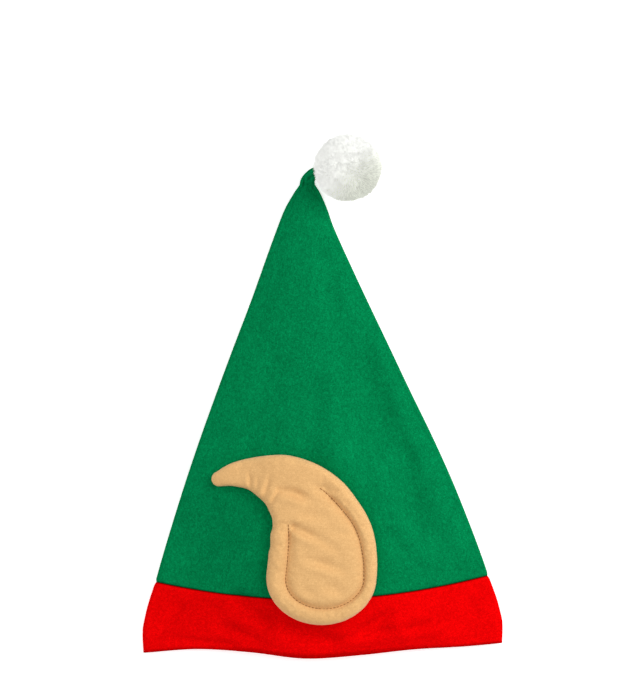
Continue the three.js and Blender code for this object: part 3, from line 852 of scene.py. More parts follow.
@dataclass
class HatForm:
    """The hat's shape: where both layers of the felt lie, and where the ear under them lifts them."""

    hem_width: float = 301.6 * MM
    seam_width: float = 280 * MM
    band_height: float = 64.2 * MM
    crown_length: float = 330.8 * MM
    neck_width: float = 12.6 * MM
    tip_lean: float = 13 * MM
    felt: float = 2 * MM
    fold_radius: float = 3 * MM
    puff: float = 22 * MM
    seam_bow: float = 16.5 * MM  # how far the seam's middle hangs towards the mouth
    seam_tilt: float = 2.7 * MM  # how much higher the seam's right end lies than its middle line
    hem_wave: float = 10 * MM
    hem_setback: float = 2 * MM
    lift_margin: float = 6 * MM
    lift_spread: float = 34 * MM
    lift_blend: float = 18 * MM
    fold_width: float = 13 * MM
    fold_depth: float = 7.0 * MM
    rumple: float = 0.35 * MM  # height of the felt's small random waves
    rumple_size: float = 21 * MM
    rumple_finer: float = 2.6  # how many times smaller the second waves are
    rumple_fine_share: float = 0.45  # and their height, as a share of the first ones'
    rumple_seeds: tuple[int, int, int] = (3, 4, 5)  # of both waves above, and of those of the lower layer
    seam_dip: float = 0.8 * MM  # how deep the sewn seam draws the felt in
    seam_dip_width: float = 1.7 * MM
    seam_shade: float = 1.0  # strength of the painted shade along the seam's groove
    seam_shade_width: float = 0.75 * MM  # how far that painted shade reaches
    # painted shade along the hem's cut edge: its strength and how far it reaches
    hem_shade: float = 0.55
    hem_shade_width: float = 1.1 * MM
    cut_corner: float = 0.6 * MM  # radius of a cut edge's corners
    cut_back: float = 0.5  # how squarely those corners turn, along the hat
    cut_out: float = 0.6  # and across the felt
    gather: float = 0.4 * MM  # height of the gathers under the neck
    gather_start: float = 0.94  # where they begin, along the crown
    gathers: int = 7
    panel_steps: int = 96  # corners across each layer
    fold_steps: int = 10  # and round each side fold
    ear_samples: int = 21  # places of the ear's middle line that the lift is worked out from
    station_rounds: int = 14  # rounds of the search for a place's station
    area_steps: tuple[int, int] = (40, 41)  # levels and columns over which the flat area is summed
    ear: EarPlan = field(default_factory=EarPlan)
    band_rows: Table = field(
        default_factory=lambda: Table(
            (0.0, 0.31, 0.5, 0.7, 1.0),
            {"flare": (1.0, 1.04, 0.85, 0.56, 0.0), "puff": (0.62, 0.74, 0.81, 0.86, 0.92)},
        )
    )
    crown_rows: Table = field(
        default_factory=lambda: Table(
            (0.0, 0.054, 0.131, 0.246, 0.36, 0.475, 0.59, 0.704, 0.819, 0.896, 0.939, 0.98, 1.0),
            {
                "width": (1, 0.958, 0.894, 0.792, 0.681, 0.561, 0.441, 0.32, 0.203, 0.126, 0.086, 0.034, 0),
                "lean": (0.06, 0.1, 0.17, 0.29, 0.45, 0.63, 0.77, 0.9, 1.05, 1.12, 1.09, 1.03, 1.0),
                "puff": (0.92, 0.95, 1.0, 1.0, 0.96, 0.88, 0.78, 0.68, 0.56, 0.48, 0.43, 0.39, 0.38),
            },
        )
    )
    hem_rows: Table = field(
        default_factory=lambda: Table(
            (-1.0, -0.7, -0.4, -0.1, 0.2, 0.5, 0.8, 1.0),
            {"rise": (0.17, 0.5, 0.25, -0.25, 0.02, 0.48, 0.73, 1.0)},
        )
    )
    folds: tuple[Crease, ...] = (
        Crease(0.15, 0.70, 0.36, 0.4, 1.15, -1.15, taper=0.4, ending=0.2),
        Crease(0.28, 0.72, 0.68, 0.32, 0.85, 0.7, taper=0.5, ending=0.3),
        Crease(0.45, 0.47, 0.53, 0.2, 0.85, -1.3, taper=0.2, ending=0.3),
        Crease(0.64, 0.38, 0.82, 0.18, 0.9, 0.8, taper=0.2, ending=0.3),
        Crease(0.07, 0.56, 0.06, 0.44, 1.1, 0.9),
        Crease(0.46, 0.27, 0.6, 0.2, 0.6, 0.8),
        Crease(-0.28, 0.6, -0.42, 0.42, 1.2, -0.5),
        Crease(-0.62, 0.3, -0.72, 0.18, 1.1, -0.6),
        Crease(-0.52, 0.14, -0.24, 0.055, 0.75, -1.3, taper=0.2, ending=0.2),
        Crease(-0.3, 0.065, 0.12, 0.03, 0.7, -1.1, taper=0.3, ending=0.4),
        Crease(0.32, 0.05, 0.6, 0.1, 0.8, 0.8, taper=0.3, ending=0.3),
        Crease(0.85, 0.13, 0.8, 0.05, 0.7, -0.6),
    )
    fine_folds: tuple[Crease, ...] = (
        Crease(0.01, 0.84, 0.08, 0.71, 0.7, -0.45),
        Crease(0.05, 0.95, 0.18, 0.8, 0.45, 0.3),
        Crease(0.27, 0.7, 0.52, 0.44, 0.5, 0.45),
        Crease(0.33, 0.28, 0.5, 0.19, 0.45, -0.4, taper=0.4, ending=0.4),
        Crease(0.3, 0.4, 0.42, 0.3, 0.6, 0.4),
        Crease(0.62, 0.33, 0.8, 0.2, 0.55, 0.4),
        Crease(0.42, 0.05, 0.62, 0.07, 0.3, -0.6, taper=0.3, ending=0.4),
        Crease(0.16, 0.04, 0.42, 0.1, 0.35, -0.75, taper=0.3, ending=0.3),
        Crease(0.14, 0.03, 0.7, 0.055, 0.45, 0.4),
        Crease(-0.62, 0.07, -0.3, 0.028, 0.4, -0.6, taper=0.3, ending=0.3),
        Crease(-0.66, 0.13, -0.3, 0.10, 0.45, 0.3),
        Crease(-0.92, 0.05, -0.80, 0.10, 0.55, -0.9),
        Crease(-0.84, 0.035, -0.5, 0.022, 0.25, -0.5),
        Crease(0.05, 0.03, 0.38, 0.055, 0.3, -0.4),
        Crease(0.9, 0.1, 0.8, 0.14, 0.3, 0.5),
        Crease(0.66, 0.03, 0.92, 0.075, 0.35, 0.4),
        Crease(-0.02, 0.999, 0.0, 0.955, 0.2, -0.5, ending=0.5),
    )

    def __post_init__(self) -> None:
        """Keeps the places of the ear's middle line that the lift is worked out from."""
        at = np.linspace(0, 1, self.ear_samples)
        middle = self.ear.middle(at)
        radius = np.minimum(self.ear.half(at), middle[:, 1] - self.ear.above_hem)
        self._lift_samples = (middle, radius, self.ear.thick(at))

    @property
    def length(self) -> float:
        """The hat's length from the hem line to the neck."""
        return self.band_height + self.crown_length

    def lift(self, x: np.ndarray, y: np.ndarray) -> np.ndarray:
        """How high the ear under the hat lifts the felt.

        Args:
            x: Places of the plan, across.
            y: Places of the plan, along.

        Returns:
            The heights there.
        """
        middle, radius, thick = self._lift_samples
        away = np.hypot(x[..., None] - middle[:, 0], y[..., None] - middle[:, 1]) - radius
        weight = np.exp(-away / self.lift_blend)
        height = (weight * thick).sum(-1) / weight.sum(-1)
        fall = np.maximum(0, away.min(-1) - self.lift_margin) / self.lift_spread
        return height * np.exp(-fall * fall)

    def station(self, at: np.ndarray | float) -> tuple[np.ndarray, np.ndarray, np.ndarray]:
        """Sizes of a section.

        Args:
            at: Where it is, from -1 at the hem through 0 at the seam to 1 at the neck.

        Returns:
            Its half width, the place of its middle, and how far its layers stand apart.
        """
        at = np.asarray(at, float)
        flare, width = self.band_rows.read("flare", at + 1), self.crown_rows.read("width", at)
        band = (self.seam_width + flare * (self.hem_width - self.seam_width)) / 2
        crown = (self.neck_width + width * (self.seam_width - self.neck_width)) / 2
        lean = -self.crown_rows.read("lean", at) * self.tip_lean * np.where(at < 0, 1 + at, 1.0)
        puff = np.where(at < 0, self.band_rows.read("puff", at + 1), self.crown_rows.read("puff", at))
        return np.where(at < 0, band, crown), lean, puff * self.puff

    def along(self, at: np.ndarray | float, share: np.ndarray, lower: np.ndarray | bool) -> np.ndarray:
        """How far along the hat points lie.

        Args:
            at: Their station.
            share: Their places across, in shares of the half width.
            lower: True for points of the lower layer, whose hem is set back.

        Returns:
            The distances from the hem line.
        """
        at = np.asarray(at, float)
        seam = self.band_height + self.seam_tilt * share - self.seam_bow * (1 - share**2)
        setback = np.where(lower, self.hem_setback * (1 - share**2), 0.0)
        hem = self.hem_wave * self.hem_rows.read("rise", share) + setback
        return np.where(at >= 0, mix(seam, self.length, at), mix(seam, hem, -at))

    def opening(self, at: np.ndarray | float, share: np.ndarray) -> np.ndarray:
        """Returns the height of the upper layer's middle surface over the lower layer's."""
        _, _, puff = self.station(at)
        return 2 * self.fold_radius + (puff - 2 * self.fold_radius) * (1 - share**2)

    def relief(self, x: np.ndarray, y: np.ndarray) -> np.ndarray:
        """The height that folds and small waves add to the upper layer.

        Args:
            x: Places of the plan, across.
            y: Places of the plan, along.

        Returns:
            The added heights.
        """
        scale = (self.hem_width / 2, self.length)
        folds = sum(crease.height(x, y, scale, self.fold_width) for crease in self.folds + self.fine_folds)
        broad, fine, _ = self.rumple_seeds
        finer = self.rumple_fine_share * cloud(x, y, self.rumple_size / self.rumple_finer, fine)
        waves = cloud(x, y, self.rumple_size, broad) + finer
        return folds * self.fold_depth + waves * self.rumple

    def fullness(self, share: np.ndarray) -> np.ndarray:
        """Returns how much of the relief is left at a share of the half width: none at the side folds."""
        return np.sqrt(np.clip(1 - share**2, 0, 1))

    def laid(self, at: float, x: np.ndarray, lower: np.ndarray | bool) -> tuple[np.ndarray, np.ndarray]:
        """Where the felt's middle surface would lie if the hat were flat.

        Args:
            at: The station.
            x: Places across, from the section's middle.
            lower: True for points of the lower layer.

        Returns:
            How far along the hat these places lie, and their height over the table or the lower ear.
        """
        half, middle, _ = (float(value) for value in self.station(at))
        y = self.along(at, np.clip(x / half, -1, 1), lower)
        return y, self.lift(middle + x, y) + self.felt / 2

    def loop(self, at: float) -> np.ndarray:
        """The middle surface of the felt: lower layer, right fold, upper layer and left fold.

        Args:
            at: The station.

        Returns:
            The loop's points, one a row.
        """
        half, middle, _ = (float(value) for value in self.station(at))
        flat = half - self.felt / 2 - self.fold_radius
        share = np.linspace(-1, 1, self.panel_steps + 1)
        x = share * flat
        y, z = self.laid(at, x, True)
        waves = np.abs(cloud(middle + x, y, self.rumple_size, self.rumple_seeds[2]))
        lower = np.stack([x, y, z + waves * self.rumple * self.fullness(share)], 1)
        y, z = self.laid(at, x[::-1], False)
        raise_by = self.opening(at, share) + self.relief(middle + x[::-1], y) * self.fullness(share)
        upper = np.stack([x[::-1], y, z + raise_by], 1)
        parts = [lower]
        for side, panel in ((1, upper), (-1, None)):
            angle = np.pi * (np.arange(1, self.fold_steps + 1) / (self.fold_steps + 1) - 0.5) * side
            bend = side * (flat + self.fold_radius * np.cos(angle))
            y, _ = self.laid(at, bend, angle < 0)
            z = self.lift(np.full(len(y), middle + side * flat), y) + self.felt / 2
            parts.append(np.stack([bend, y, z + self.fold_radius * (1 + np.sin(angle))], 1))
            if panel is not None:
                parts.append(panel)
        return np.concatenate(parts) + [middle, 0, 0]

    def ring(self, at: float, distance: float) -> np.ndarray:
        """The loop moved off the middle surface.

        Args:
            at: The station.
            distance: How far, outwards if above 0.

        Returns:
            The points, one a row. Nothing of the outside reaches below the table.
        """
        loop = self.loop(at)
        before, after = np.roll(loop, 1, axis=0), np.roll(loop, -1, axis=0)
        into, out = (loop - before)[:, [0, 2]], (after - loop)[:, [0, 2]]
        into /= np.hypot(*into.T)[:, None]
        out /= np.hypot(*out.T)[:, None]
        tangent = into + out
        tangent /= np.hypot(*tangent.T)[:, None]
        seam_away = abs(at) * (self.crown_length if at >= 0 else self.band_height)
        dip = self.seam_dip * math.exp(-((seam_away / self.seam_dip_width) ** 2))
        middle_height = (loop[:, 2].min() + loop[:, 2].max()) / 2
        angle = np.arctan2(loop[:, 2] - middle_height, loop[:, 0] - loop[:, 0].mean())
        gathered = self.gather * smooth(at, self.gather_start, 1.0) * np.cos(self.gathers * angle)
        move = distance - dip + gathered
        points = loop + np.stack([tangent[:, 1] * move, np.zeros(len(loop)), -tangent[:, 0] * move], 1)
        points[:, 2] = np.maximum(points[:, 2], 0.0)
        return points

    def upper_surface(self, x: np.ndarray, y: np.ndarray) -> np.ndarray:
        """The height of the hat's upper side.

        Args:
            x: Places of the plan, across.
            y: Places of the plan, along.

        Returns:
            The heights there.
        """
        at = np.clip((y - self.band_height) / self.crown_length, -1, 1)
        for _ in range(self.station_rounds):
            half, middle, _ = self.station(at)
            error = self.along(at, np.clip((x - middle) / half, -1, 1), False) - y
            at = np.clip(at - error / np.where(at < 0, self.band_height, self.crown_length), -1, 1)
        half, middle, _ = self.station(at)
        share = np.clip((x - middle) / (half - self.felt / 2 - self.fold_radius), -1, 1)
        folds = self.relief(x, y) * self.fullness(share)
        return self.lift(x, y) + self.felt + self.opening(at, share) + folds

    def edge(self, x: np.ndarray, y: np.ndarray) -> np.ndarray:
        """The painted shade along the seam and the hem.

        Args:
            x: Places of the plan, across.
            y: Places of the plan, along.

        Returns:
            The strength of that painted shade there, from 0 to 1.
        """
        seam = (0.0, self.seam_shade, self.seam_shade_width)
        hem = (-1.0, self.hem_shade, self.hem_shade_width)
        total = np.zeros(len(x))
        for at, strength, width in (seam, hem):
            half, middle, _ = self.station(at)
            share = np.clip((x - middle) / half, -1, 1)
            for lower in (False, True):
                away = y - self.along(at, share, lower)
                total = np.maximum(total, strength * np.exp(-((away / width) ** 2)))
        return total

    def flat_area(self, low: float, high: float) -> float:
        """The area of both layers of the felt, laid flat.

        Args:
            low: The first station.
            high: The last one.

        Returns:
            The area between them.
        """
        levels, columns = self.area_steps
        at, share = np.linspace(low, high, levels)[:, None], np.linspace(-1, 1, columns)
        along = self.along(at, share, False)
        half = np.broadcast_to(self.station(at)[0], along.shape)
        strips = np.diff(along, axis=0) * (half[1:] + half[:-1]) / 2
        return 2 * float(strips.mean(axis=1).sum()) * 2

    def rim(self, at: float, into: float, turns: int = 7) -> list[np.ndarray]:
        """A rounded cut edge of the felt, from its outside to its inside.

        Args:
            at: The station of the edge.
            into: 1 if the felt lies towards the neck from it, and -1 if towards the hem.
            turns: How many rings round it.

        Returns:
            The rings.
        """
        length = self.crown_length if at >= 0 and into > 0 else self.band_height
        rings = []
        for angle in np.linspace(0, np.pi, turns):
            back = into * self.cut_corner * (1 - math.sin(angle) ** self.cut_back) / length
            off = math.copysign(abs(math.cos(angle)) ** self.cut_out, math.cos(angle)) * self.felt / 2
            rings.append(self.ring(at + back, off))
        return rings


@dataclass
class FeltHat:
    """The sewn felt: the crown with its gathered tip, and the band."""

    form: HatForm
    shift: Vector  # from the hat's plan to the frame
    crown_steps: int = 118
    band_steps: int = 22
    edge_rows: tuple[float, ...] = (0.4 * MM, 1.0 * MM, 1.8 * MM, 2.8 * MM)  # closer rings beside the seam
    closed_tip: float = 23 * MM  # the crown's hollow ends this far from the neck
    seam_gap: float = 0.06 * MM
    nub_radius: float = 4.2 * MM
    nub_bend: float = 10.2 * MM  # radius of its bend to the right
    nub_turn: float = math.radians(80)
    nub_reach: float = 3.6 * MM  # its straight end, towards the pompom
    nub_height: float = 13.5 * MM
    nub_gathered: float = 0.5  # from this share of its length, the nub is a round gathered tube
    nub_pleats: int = 5
    pleat_depth: float = 1.1 * MM
    pleat_round: float = 0.8  # below 1, broad pleats with narrow valleys between them
    pleat_middle: float = 1.2  # takes the pleats' mean height off the nub's radius
    pleat_twist: float = 2.2  # radians that the pleats turn along the nub
    nub_steps: int = 44

    def neck(self) -> np.ndarray:
        """Returns the middle of the neck."""
        _, middle, puff = self.form.station(1.0)
        return np.array([float(middle), self.form.length, self.form.felt / 2 + float(puff) / 2])

    def nub_path(self, share: float) -> tuple[np.ndarray, np.ndarray]:
        """A point of the nub's middle line.

        Args:
            share: How far along the nub.

        Returns:
            The point, and the direction in which the nub runs there, seen from above.
        """
        bend = self.nub_turn * self.nub_bend
        run = share * (bend + self.nub_reach)
        turn = min(run, bend) / self.nub_bend
        heading = np.array([math.sin(turn), math.cos(turn), 0.0])
        start = self.neck()
        climb = (self.nub_height - start[2]) * float(smooth(share, 0, 1))
        curve = np.array([self.nub_bend * (1 - math.cos(turn)), self.nub_bend * math.sin(turn), climb])
        return start + curve + heading * max(0.0, run - bend), heading

    def nub_ring(self, share: float, section: np.ndarray) -> np.ndarray:
        """A ring across the nub, which turns from the neck's flat section into pleats.

        Args:
            share: How far along the nub.
            section: The neck's own section about its middle, as x and z.

        Returns:
            The points, one a row.
        """
        point, heading = self.nub_path(share)
        across = np.array([heading[1], -heading[0], 0.0])
        ahead, _ = self.nub_path(min(1, share + NEARBY))
        behind, _ = self.nub_path(max(0, share - NEARBY))
        up = np.cross(across, (ahead - behind) / np.linalg.norm(ahead - behind))
        angle = np.arctan2(section[:, 1], section[:, 0])
        turn = self.nub_pleats * angle / 2 + self.pleat_twist * share
        pleat = 2 * np.abs(np.cos(turn)) ** self.pleat_round - self.pleat_middle
        radius = self.nub_radius + self.pleat_depth * pleat
        gathered = float(smooth(share, 0, self.nub_gathered))
        x = mix(section[:, 0], radius * np.cos(angle), gathered)
        z = mix(section[:, 1], radius * np.sin(angle), gathered)
        return point + x[:, None] * across + z[:, None] * up

    def crown(self) -> bpy.types.Object:
        """Builds the crown, one hollow piece of felt with a closed, gathered tip.

        Returns:
            The piece, dressed.
        """
        form = self.form
        edge = self.seam_gap / 2 / form.crown_length
        start = form.cut_corner / form.crown_length
        near = edge + start + np.array(self.edge_rows) / form.crown_length
        far = np.linspace(near[-1], 1, self.crown_steps)[1:]
        levels = np.concatenate([near, far])
        hollow_end = 1 - self.closed_tip / form.crown_length
        inner = [form.ring(at, -form.felt / 2) for at in levels[levels < hollow_end]]
        outer = [form.ring(at, form.felt / 2) for at in levels]
        section = (outer[-1] - self.neck())[:, [0, 2]]
        nub = [self.nub_ring(share, section) for share in np.linspace(0, 1, self.nub_steps)[1:]]
        rings = inner[::-1] + form.rim(edge, 1)[::-1] + outer + nub
        piece = loft("crown_felt", rings)
        return self.finish(piece, "crown", "green_felt", GREEN_FELT)

    def band(self) -> bpy.types.Object:
        """Builds the band, a ring of felt that is sewn to the crown.

        Returns:
            The piece, dressed.
        """
        form = self.form
        edge = self.seam_gap / 2 / form.band_height
        ends = form.cut_corner / form.band_height
        near = edge + ends + np.array(self.edge_rows) / form.band_height
        levels = -np.concatenate([near, np.linspace(near[-1], 1 - ends, self.band_steps)[1:]])
        outer = [form.ring(at, form.felt / 2) for at in levels]
        inner = [form.ring(at, -form.felt / 2) for at in levels]
        rings = outer + form.rim(-1.0, 1)[1:-1] + inner[::-1] + form.rim(-edge, -1)[::-1][1:-1]
        piece = loft("band_felt", rings, Ends.JOINED)
        return self.finish(piece, "band", "red_felt", RED_FELT)

    def finish(self, piece: bpy.types.Object, node: str, slot: str, finish: ClothFinish) -> bpy.types.Object:
        """Moves a piece to its place in the frame, dresses it and hides the part that it stands for.

        Args:
            piece: The piece, in the hat's plan.
            node: The frame's node that it stands for.
            slot: The record's material that it is of; not used.
            finish: Its looks.

        Returns:
            The piece.
        """
        places = coordinates(piece)
        # The edge attribute carries painted shade along the seam and the hem.
        near = piece.data.attributes.new(PAINTED_EDGE_SHADE, "FLOAT", "POINT")
        near.data.foreach_set("value", self.form.edge(places[:, 0], places[:, 1]))
        set_coordinates(piece, places + np.array(self.shift))
        piece.data.materials.append(finish.material())
        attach(piece, BODY)
        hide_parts(node)
        return piece


HeightRule = Callable[[float, EarOutline], np.ndarray]  # heights of a ring's corners, from its inset


class EarSide(Enum):
    """Which ear it is."""

    RIGHT = "ear_right"
    LEFT = "ear_left"


@dataclass(frozen=True)
class Stuffing:
    """How the cloth simulation swells a cushion: its cloth, its pressure and what holds it."""

    scale: float = 10.0  # the cushion is simulated this much larger
    frames: int = 16
    cap: float = 1.5 * MM  # no place moves further than this
    sideways: float = 0.12  # share of the swelling that is kept across the ear
    quality: int = 6
    mass: float = 0.25
    stretch: float = 12.0
    shear: float = 6.0
    bending: float = 0.4
    pressure: float = 3.0
    shrink: float = -0.05  # below 0, the cloth grows
    back_reach: float = 0.8 * MM  # the back is held up to this height
    thread_reach: float = 1.3  # how far beside the thread the face is held, in cells of the mesh
    thread_floor: float = 2 * MM  # and only above this height

    def dress(self, body: bpy.types.Object, group: str) -> None:
        """Gives a cushion its cloth modifier.

        Args:
            body: The cushion.
            group: The vertex group that is held.
        """
        cloth = body.modifiers.new("stuffing", "CLOTH")
        settings = cloth.settings
        settings.quality = self.quality
        settings.mass = self.mass
        settings.tension_stiffness = settings.compression_stiffness = self.stretch
        settings.shear_stiffness = self.shear
        settings.bending_stiffness = self.bending
        settings.use_pressure = True
        settings.uniform_pressure_force = self.pressure
        settings.shrink_min = self.shrink
        settings.vertex_group_mass = group
        settings.effector_weights.gravity = 0
        cloth.collision_settings.use_self_collision = False
        cloth.point_cache.frame_start = 1
        cloth.point_cache.frame_end = self.frames


@dataclass
class StuffedEar:
    """A stuffed velour ear with a stitched channel, made lying flat on its back and then laid on the hat.

    Heights are over the ear's back. Its rings lie inside the outline, at shares of the stitches' inset.
    """

    form: HatForm
    shift: Vector
    fill: float = 0.7  # how firmly it is stuffed
    gap: float = 0.5 * MM  # between the ear and the felt
    stitch_depth: float = 3.9 * MM  # how deep the stitches draw the face in
    pad_height: float = 10.3 * MM  # of the pad within the stitches
    seam_share: float = 0.3  # height of the ear's own seam, as a share of the thickness
    crest: float = 0.42  # the ring at which the rim is highest
    shoulder: float = 0.70  # the ring at which it starts to fall to the stitches
    rise: float = 1.4  # the ring at which the pad has its full height
    back_rounding: float = 0.3
    spine_clear: float = 0.9  # most of the way to the middle line that the rings take up
    back_rings: tuple[float, ...] = (0.3, 0.15, 0.05)
    rim_rings: tuple[float, ...] = (0.0, 0.04, 0.14, 0.25, 0.36, 0.48, 0.6, 0.72)
    pad_rings: tuple[float, ...] = (0.82, 0.92, 1.0, 1.07, 1.16, 1.3, 1.5)
    voxel: float = 1.5 * MM  # size of the even mesh's cells
    stuffing: Stuffing = Stuffing()
    groove: float = 1.3 * MM  # how deep the thread cuts into the channel
    groove_width: float = 1.1 * MM
    pucker: float = 0.16 * MM  # small ripples beside the thread
    pucker_size: float = 2.6 * MM
    pucker_reach: float = 3.6 * MM
    pucker_drift: float = 2.0  # radians by which the ripples wander
    thread_fade: float = 6 * MM  # groove and puckers fade over this at the thread's ends
    thread_clear: float = 2.5 * MM  # wrinkles stop this far from the thread
    face_from: float = 2.5 * MM  # wrinkles start at this height of the rim's side
    face_full: float = 6 * MM
    soft_height: float = 0.35 * MM  # of the velour's soft bumps, which have a share, a size and a seed
    soft_bumps: tuple[tuple[float, float, int], ...] = ((0.5, 11 * MM, 7), (0.3, 5 * MM, 8))
    drift_bumps: tuple[float, int] = (7 * MM, 9)  # size and seed of how the ripples wander
    wrinkle_depth: float = 3.0 * MM
    wrinkle_width: float = 2.2 * MM
    wrinkles: tuple[Crease, ...] = (
        Crease(-0.47, 0.812, -0.02, 0.73, 1.8, -0.9, 0.5, 0.3, 0.4),
        Crease(0.22, 0.79, -0.12, 0.80, 1.9, -0.4, 0.4, 0.6, 0.5),
        Crease(-0.28, 0.655, 0.12, 0.63, 2.0, -0.45, 0.4, 0.4, 0.5),
        Crease(-0.34, 0.60, 0.12, 0.47, 1.8, -0.9, 0.5, 0.2, 0.6),
        Crease(-0.05, 0.50, 0.22, 0.43, 1.8, -0.4, 0.4, 0.5, 0.5),
        Crease(0.36, 0.53, 0.05, 0.55, 1.6, -0.4, 0.4, 0.5, 0.6),
        Crease(-0.20, 0.40, 0.30, 0.31, 1.9, -0.75, 0.5, 0.4, 0.5),
        Crease(-0.05, 0.24, 0.30, 0.18, 2.2, -0.5, 0.4, 0.5, 0.5),
        Crease(-0.24, 0.22, 0.02, 0.17, 1.8, -0.35, 0.4, 0.5, 0.5),
        Crease(-0.66, 0.93, -0.64, 0.80, 1.0, -0.45, 0.35, 0.7),
        Crease(-0.56, 0.90, -0.60, 0.77, 1.0, -0.35, 0.35, 0.7),
        Crease(-0.44, 0.92, -0.53, 0.74, 1.1, -0.5, 0.4, 0.7),
        Crease(-0.36, 0.82, -0.47, 0.70, 0.9, -0.45, 0.4, 0.5),
    )
    stitch_from: float = 0.35  # of the channel's full depth, where the first stitch lies
    stitch_spacing: float = 3.0 * MM
    stitch_length: float = 2.7 * MM
    stitch_width: float = 0.6 * MM
    stitch_lift: float = 0.15 * MM  # of the thread over the velour
    table_clear: float = 0.04 * MM  # the lower ear is pressed flat this far over the table
    table_soft: float = 1 * MM

    def face_height(self, inset: float, outline: EarOutline) -> np.ndarray:
        """The face's height on a ring.

        Args:
            inset: The ring.
            outline: The ear's outline.

        Returns:
            The height of each of the ring's corners.
        """
        seam = self.seam_share * outline.thick
        valley = outline.thick - self.stitch_depth * outline.channel
        pad = mix(outline.thick, self.pad_height, outline.channel)
        if inset < self.crest:
            return seam + (outline.thick - seam) * math.sqrt(1 - (1 - inset / self.crest) ** 2)
        if inset < 1:
            return mix(outline.thick, valley, smooth(inset, self.shoulder, 1))
        return mix(valley, pad, smooth(inset, 1, self.rise))

    def back_height(self, inset: float, outline: EarOutline) -> np.ndarray:
        """Returns the back's height on a ring: 0 but for its rounded edge."""
        turn = 1 - min(inset / self.back_rounding, 1)
        return self.seam_share * outline.thick * (1 - math.sqrt(1 - turn**2))

    def side_rings(
        self, insets: Sequence[float], height: HeightRule, outline: EarOutline
    ) -> list[np.ndarray]:
        """Rings of one side of the cushion.

        Args:
            insets: The rings, in order.
            height: Gives a ring's heights.
            outline: The ear's outline.

        Returns:
            The corners of each ring, one a row.
        """
        plans = [outline.ring(inset, self.spine_clear, self.rise) for inset in insets]
        return [np.column_stack([plan, height(inset, outline)]) for plan, inset in zip(plans, insets)]

    def rings(self, outline: EarOutline) -> list[np.ndarray]:
        """Rings of the whole cushion, from the middle of its back round to that of its face.

        Args:
            outline: The ear's outline.

        Returns:
            The corners of each ring, one a row.
        """
        plan = self.form.ear
        lobe_pad = float(plan.middle(np.array([plan.stitch_start_inner]))[0, 1])
        opened = smooth(outline.facing[:, 1], lobe_pad, lobe_pad + plan.stitch_fade * plan.length)
        top = mix(self.pad_height, outline.thick, opened)
        back = self.side_rings(self.back_rings, self.back_height, outline)
        face = self.side_rings(self.rim_rings + self.pad_rings, self.face_height, outline)
        flat = np.column_stack([outline.facing, np.zeros(len(top))])
        return [flat] + back + face + [np.column_stack([outline.facing, top])]

    def stitch_line(self, outline: EarOutline) -> np.ndarray:
        """Returns the line of the stitches in the plan, one point a row."""
        plan = outline.ring(1.0, self.spine_clear, self.rise)
        return plan[outline.channel > self.stitch_from]

    def cushion(self) -> bpy.types.Object:
        """Makes the cushion in the plan, evenly meshed and swollen by a cloth simulation.

        Returns:
            The cushion, lying on its back at z = 0.
        """
        outline = EarOutline.trace(self.form.ear)
        line = self.stitch_line(outline)
        body = loft("ear_cushion", self.rings(outline), Ends.FOLDED)
        remesh = body.modifiers.new("even", "REMESH")
        remesh.mode = "VOXEL"
        remesh.voxel_size = self.voxel
        remesh.use_smooth_shade = True
        apply_modifiers(body)
        self.swell(body, line)
        divide = body.modifiers.new("finer", "SUBSURF")
        divide.levels = divide.render_levels = 1
        apply_modifiers(body)
        places = coordinates(body)
        places[:, 2] += self.detail(places, line)
        places[:, 2] = np.maximum(places[:, 2], 0)
        set_coordinates(body, places)
        body.data.polygons.foreach_set("use_smooth", [True] * len(body.data.polygons))
        return body

    def swell(self, body: bpy.types.Object, line: np.ndarray) -> None:
        """Swells the cushion as stuffing does, held along its stitches and on its back.

        Args:
            body: The cushion, whose mesh is changed.
            line: The line of the stitches.
        """
        stuffing = self.stuffing
        start = coordinates(body)
        away, _ = distance_to_line(start[:, :2], line)
        on_back = start[:, 2] < stuffing.back_reach
        on_thread = (away < stuffing.thread_reach * self.voxel) & (start[:, 2] > stuffing.thread_floor)
        group = body.vertex_groups.new(name="held")
        group.add([int(i) for i in np.flatnonzero(on_back | on_thread)], 1.0, "REPLACE")
        set_coordinates(body, start * stuffing.scale)
        stuffing.dress(body, group.name)
        for frame in range(1, stuffing.frames + 1):
            bpy.context.scene.frame_set(frame)
        graph = bpy.context.evaluated_depsgraph_get()
        moved = np.empty(len(start) * 3)
        body.evaluated_get(graph).data.vertices.foreach_get("co", moved)
        step = moved.reshape(-1, 3) / stuffing.scale - start
        size = np.linalg.norm(step, axis=1)
        capped = stuffing.cap * np.tanh(size / stuffing.cap)
        kept = (stuffing.sideways, stuffing.sideways, 1)
        step *= (capped / np.maximum(size, TINY))[:, None] * kept
        body.modifiers.clear()
        body.vertex_groups.clear()
        bpy.context.scene.frame_set(1)
        set_coordinates(body, start + step)
        log.info("ear cushion swollen, largest move %.2f mm before the cap", size.max() / MM)

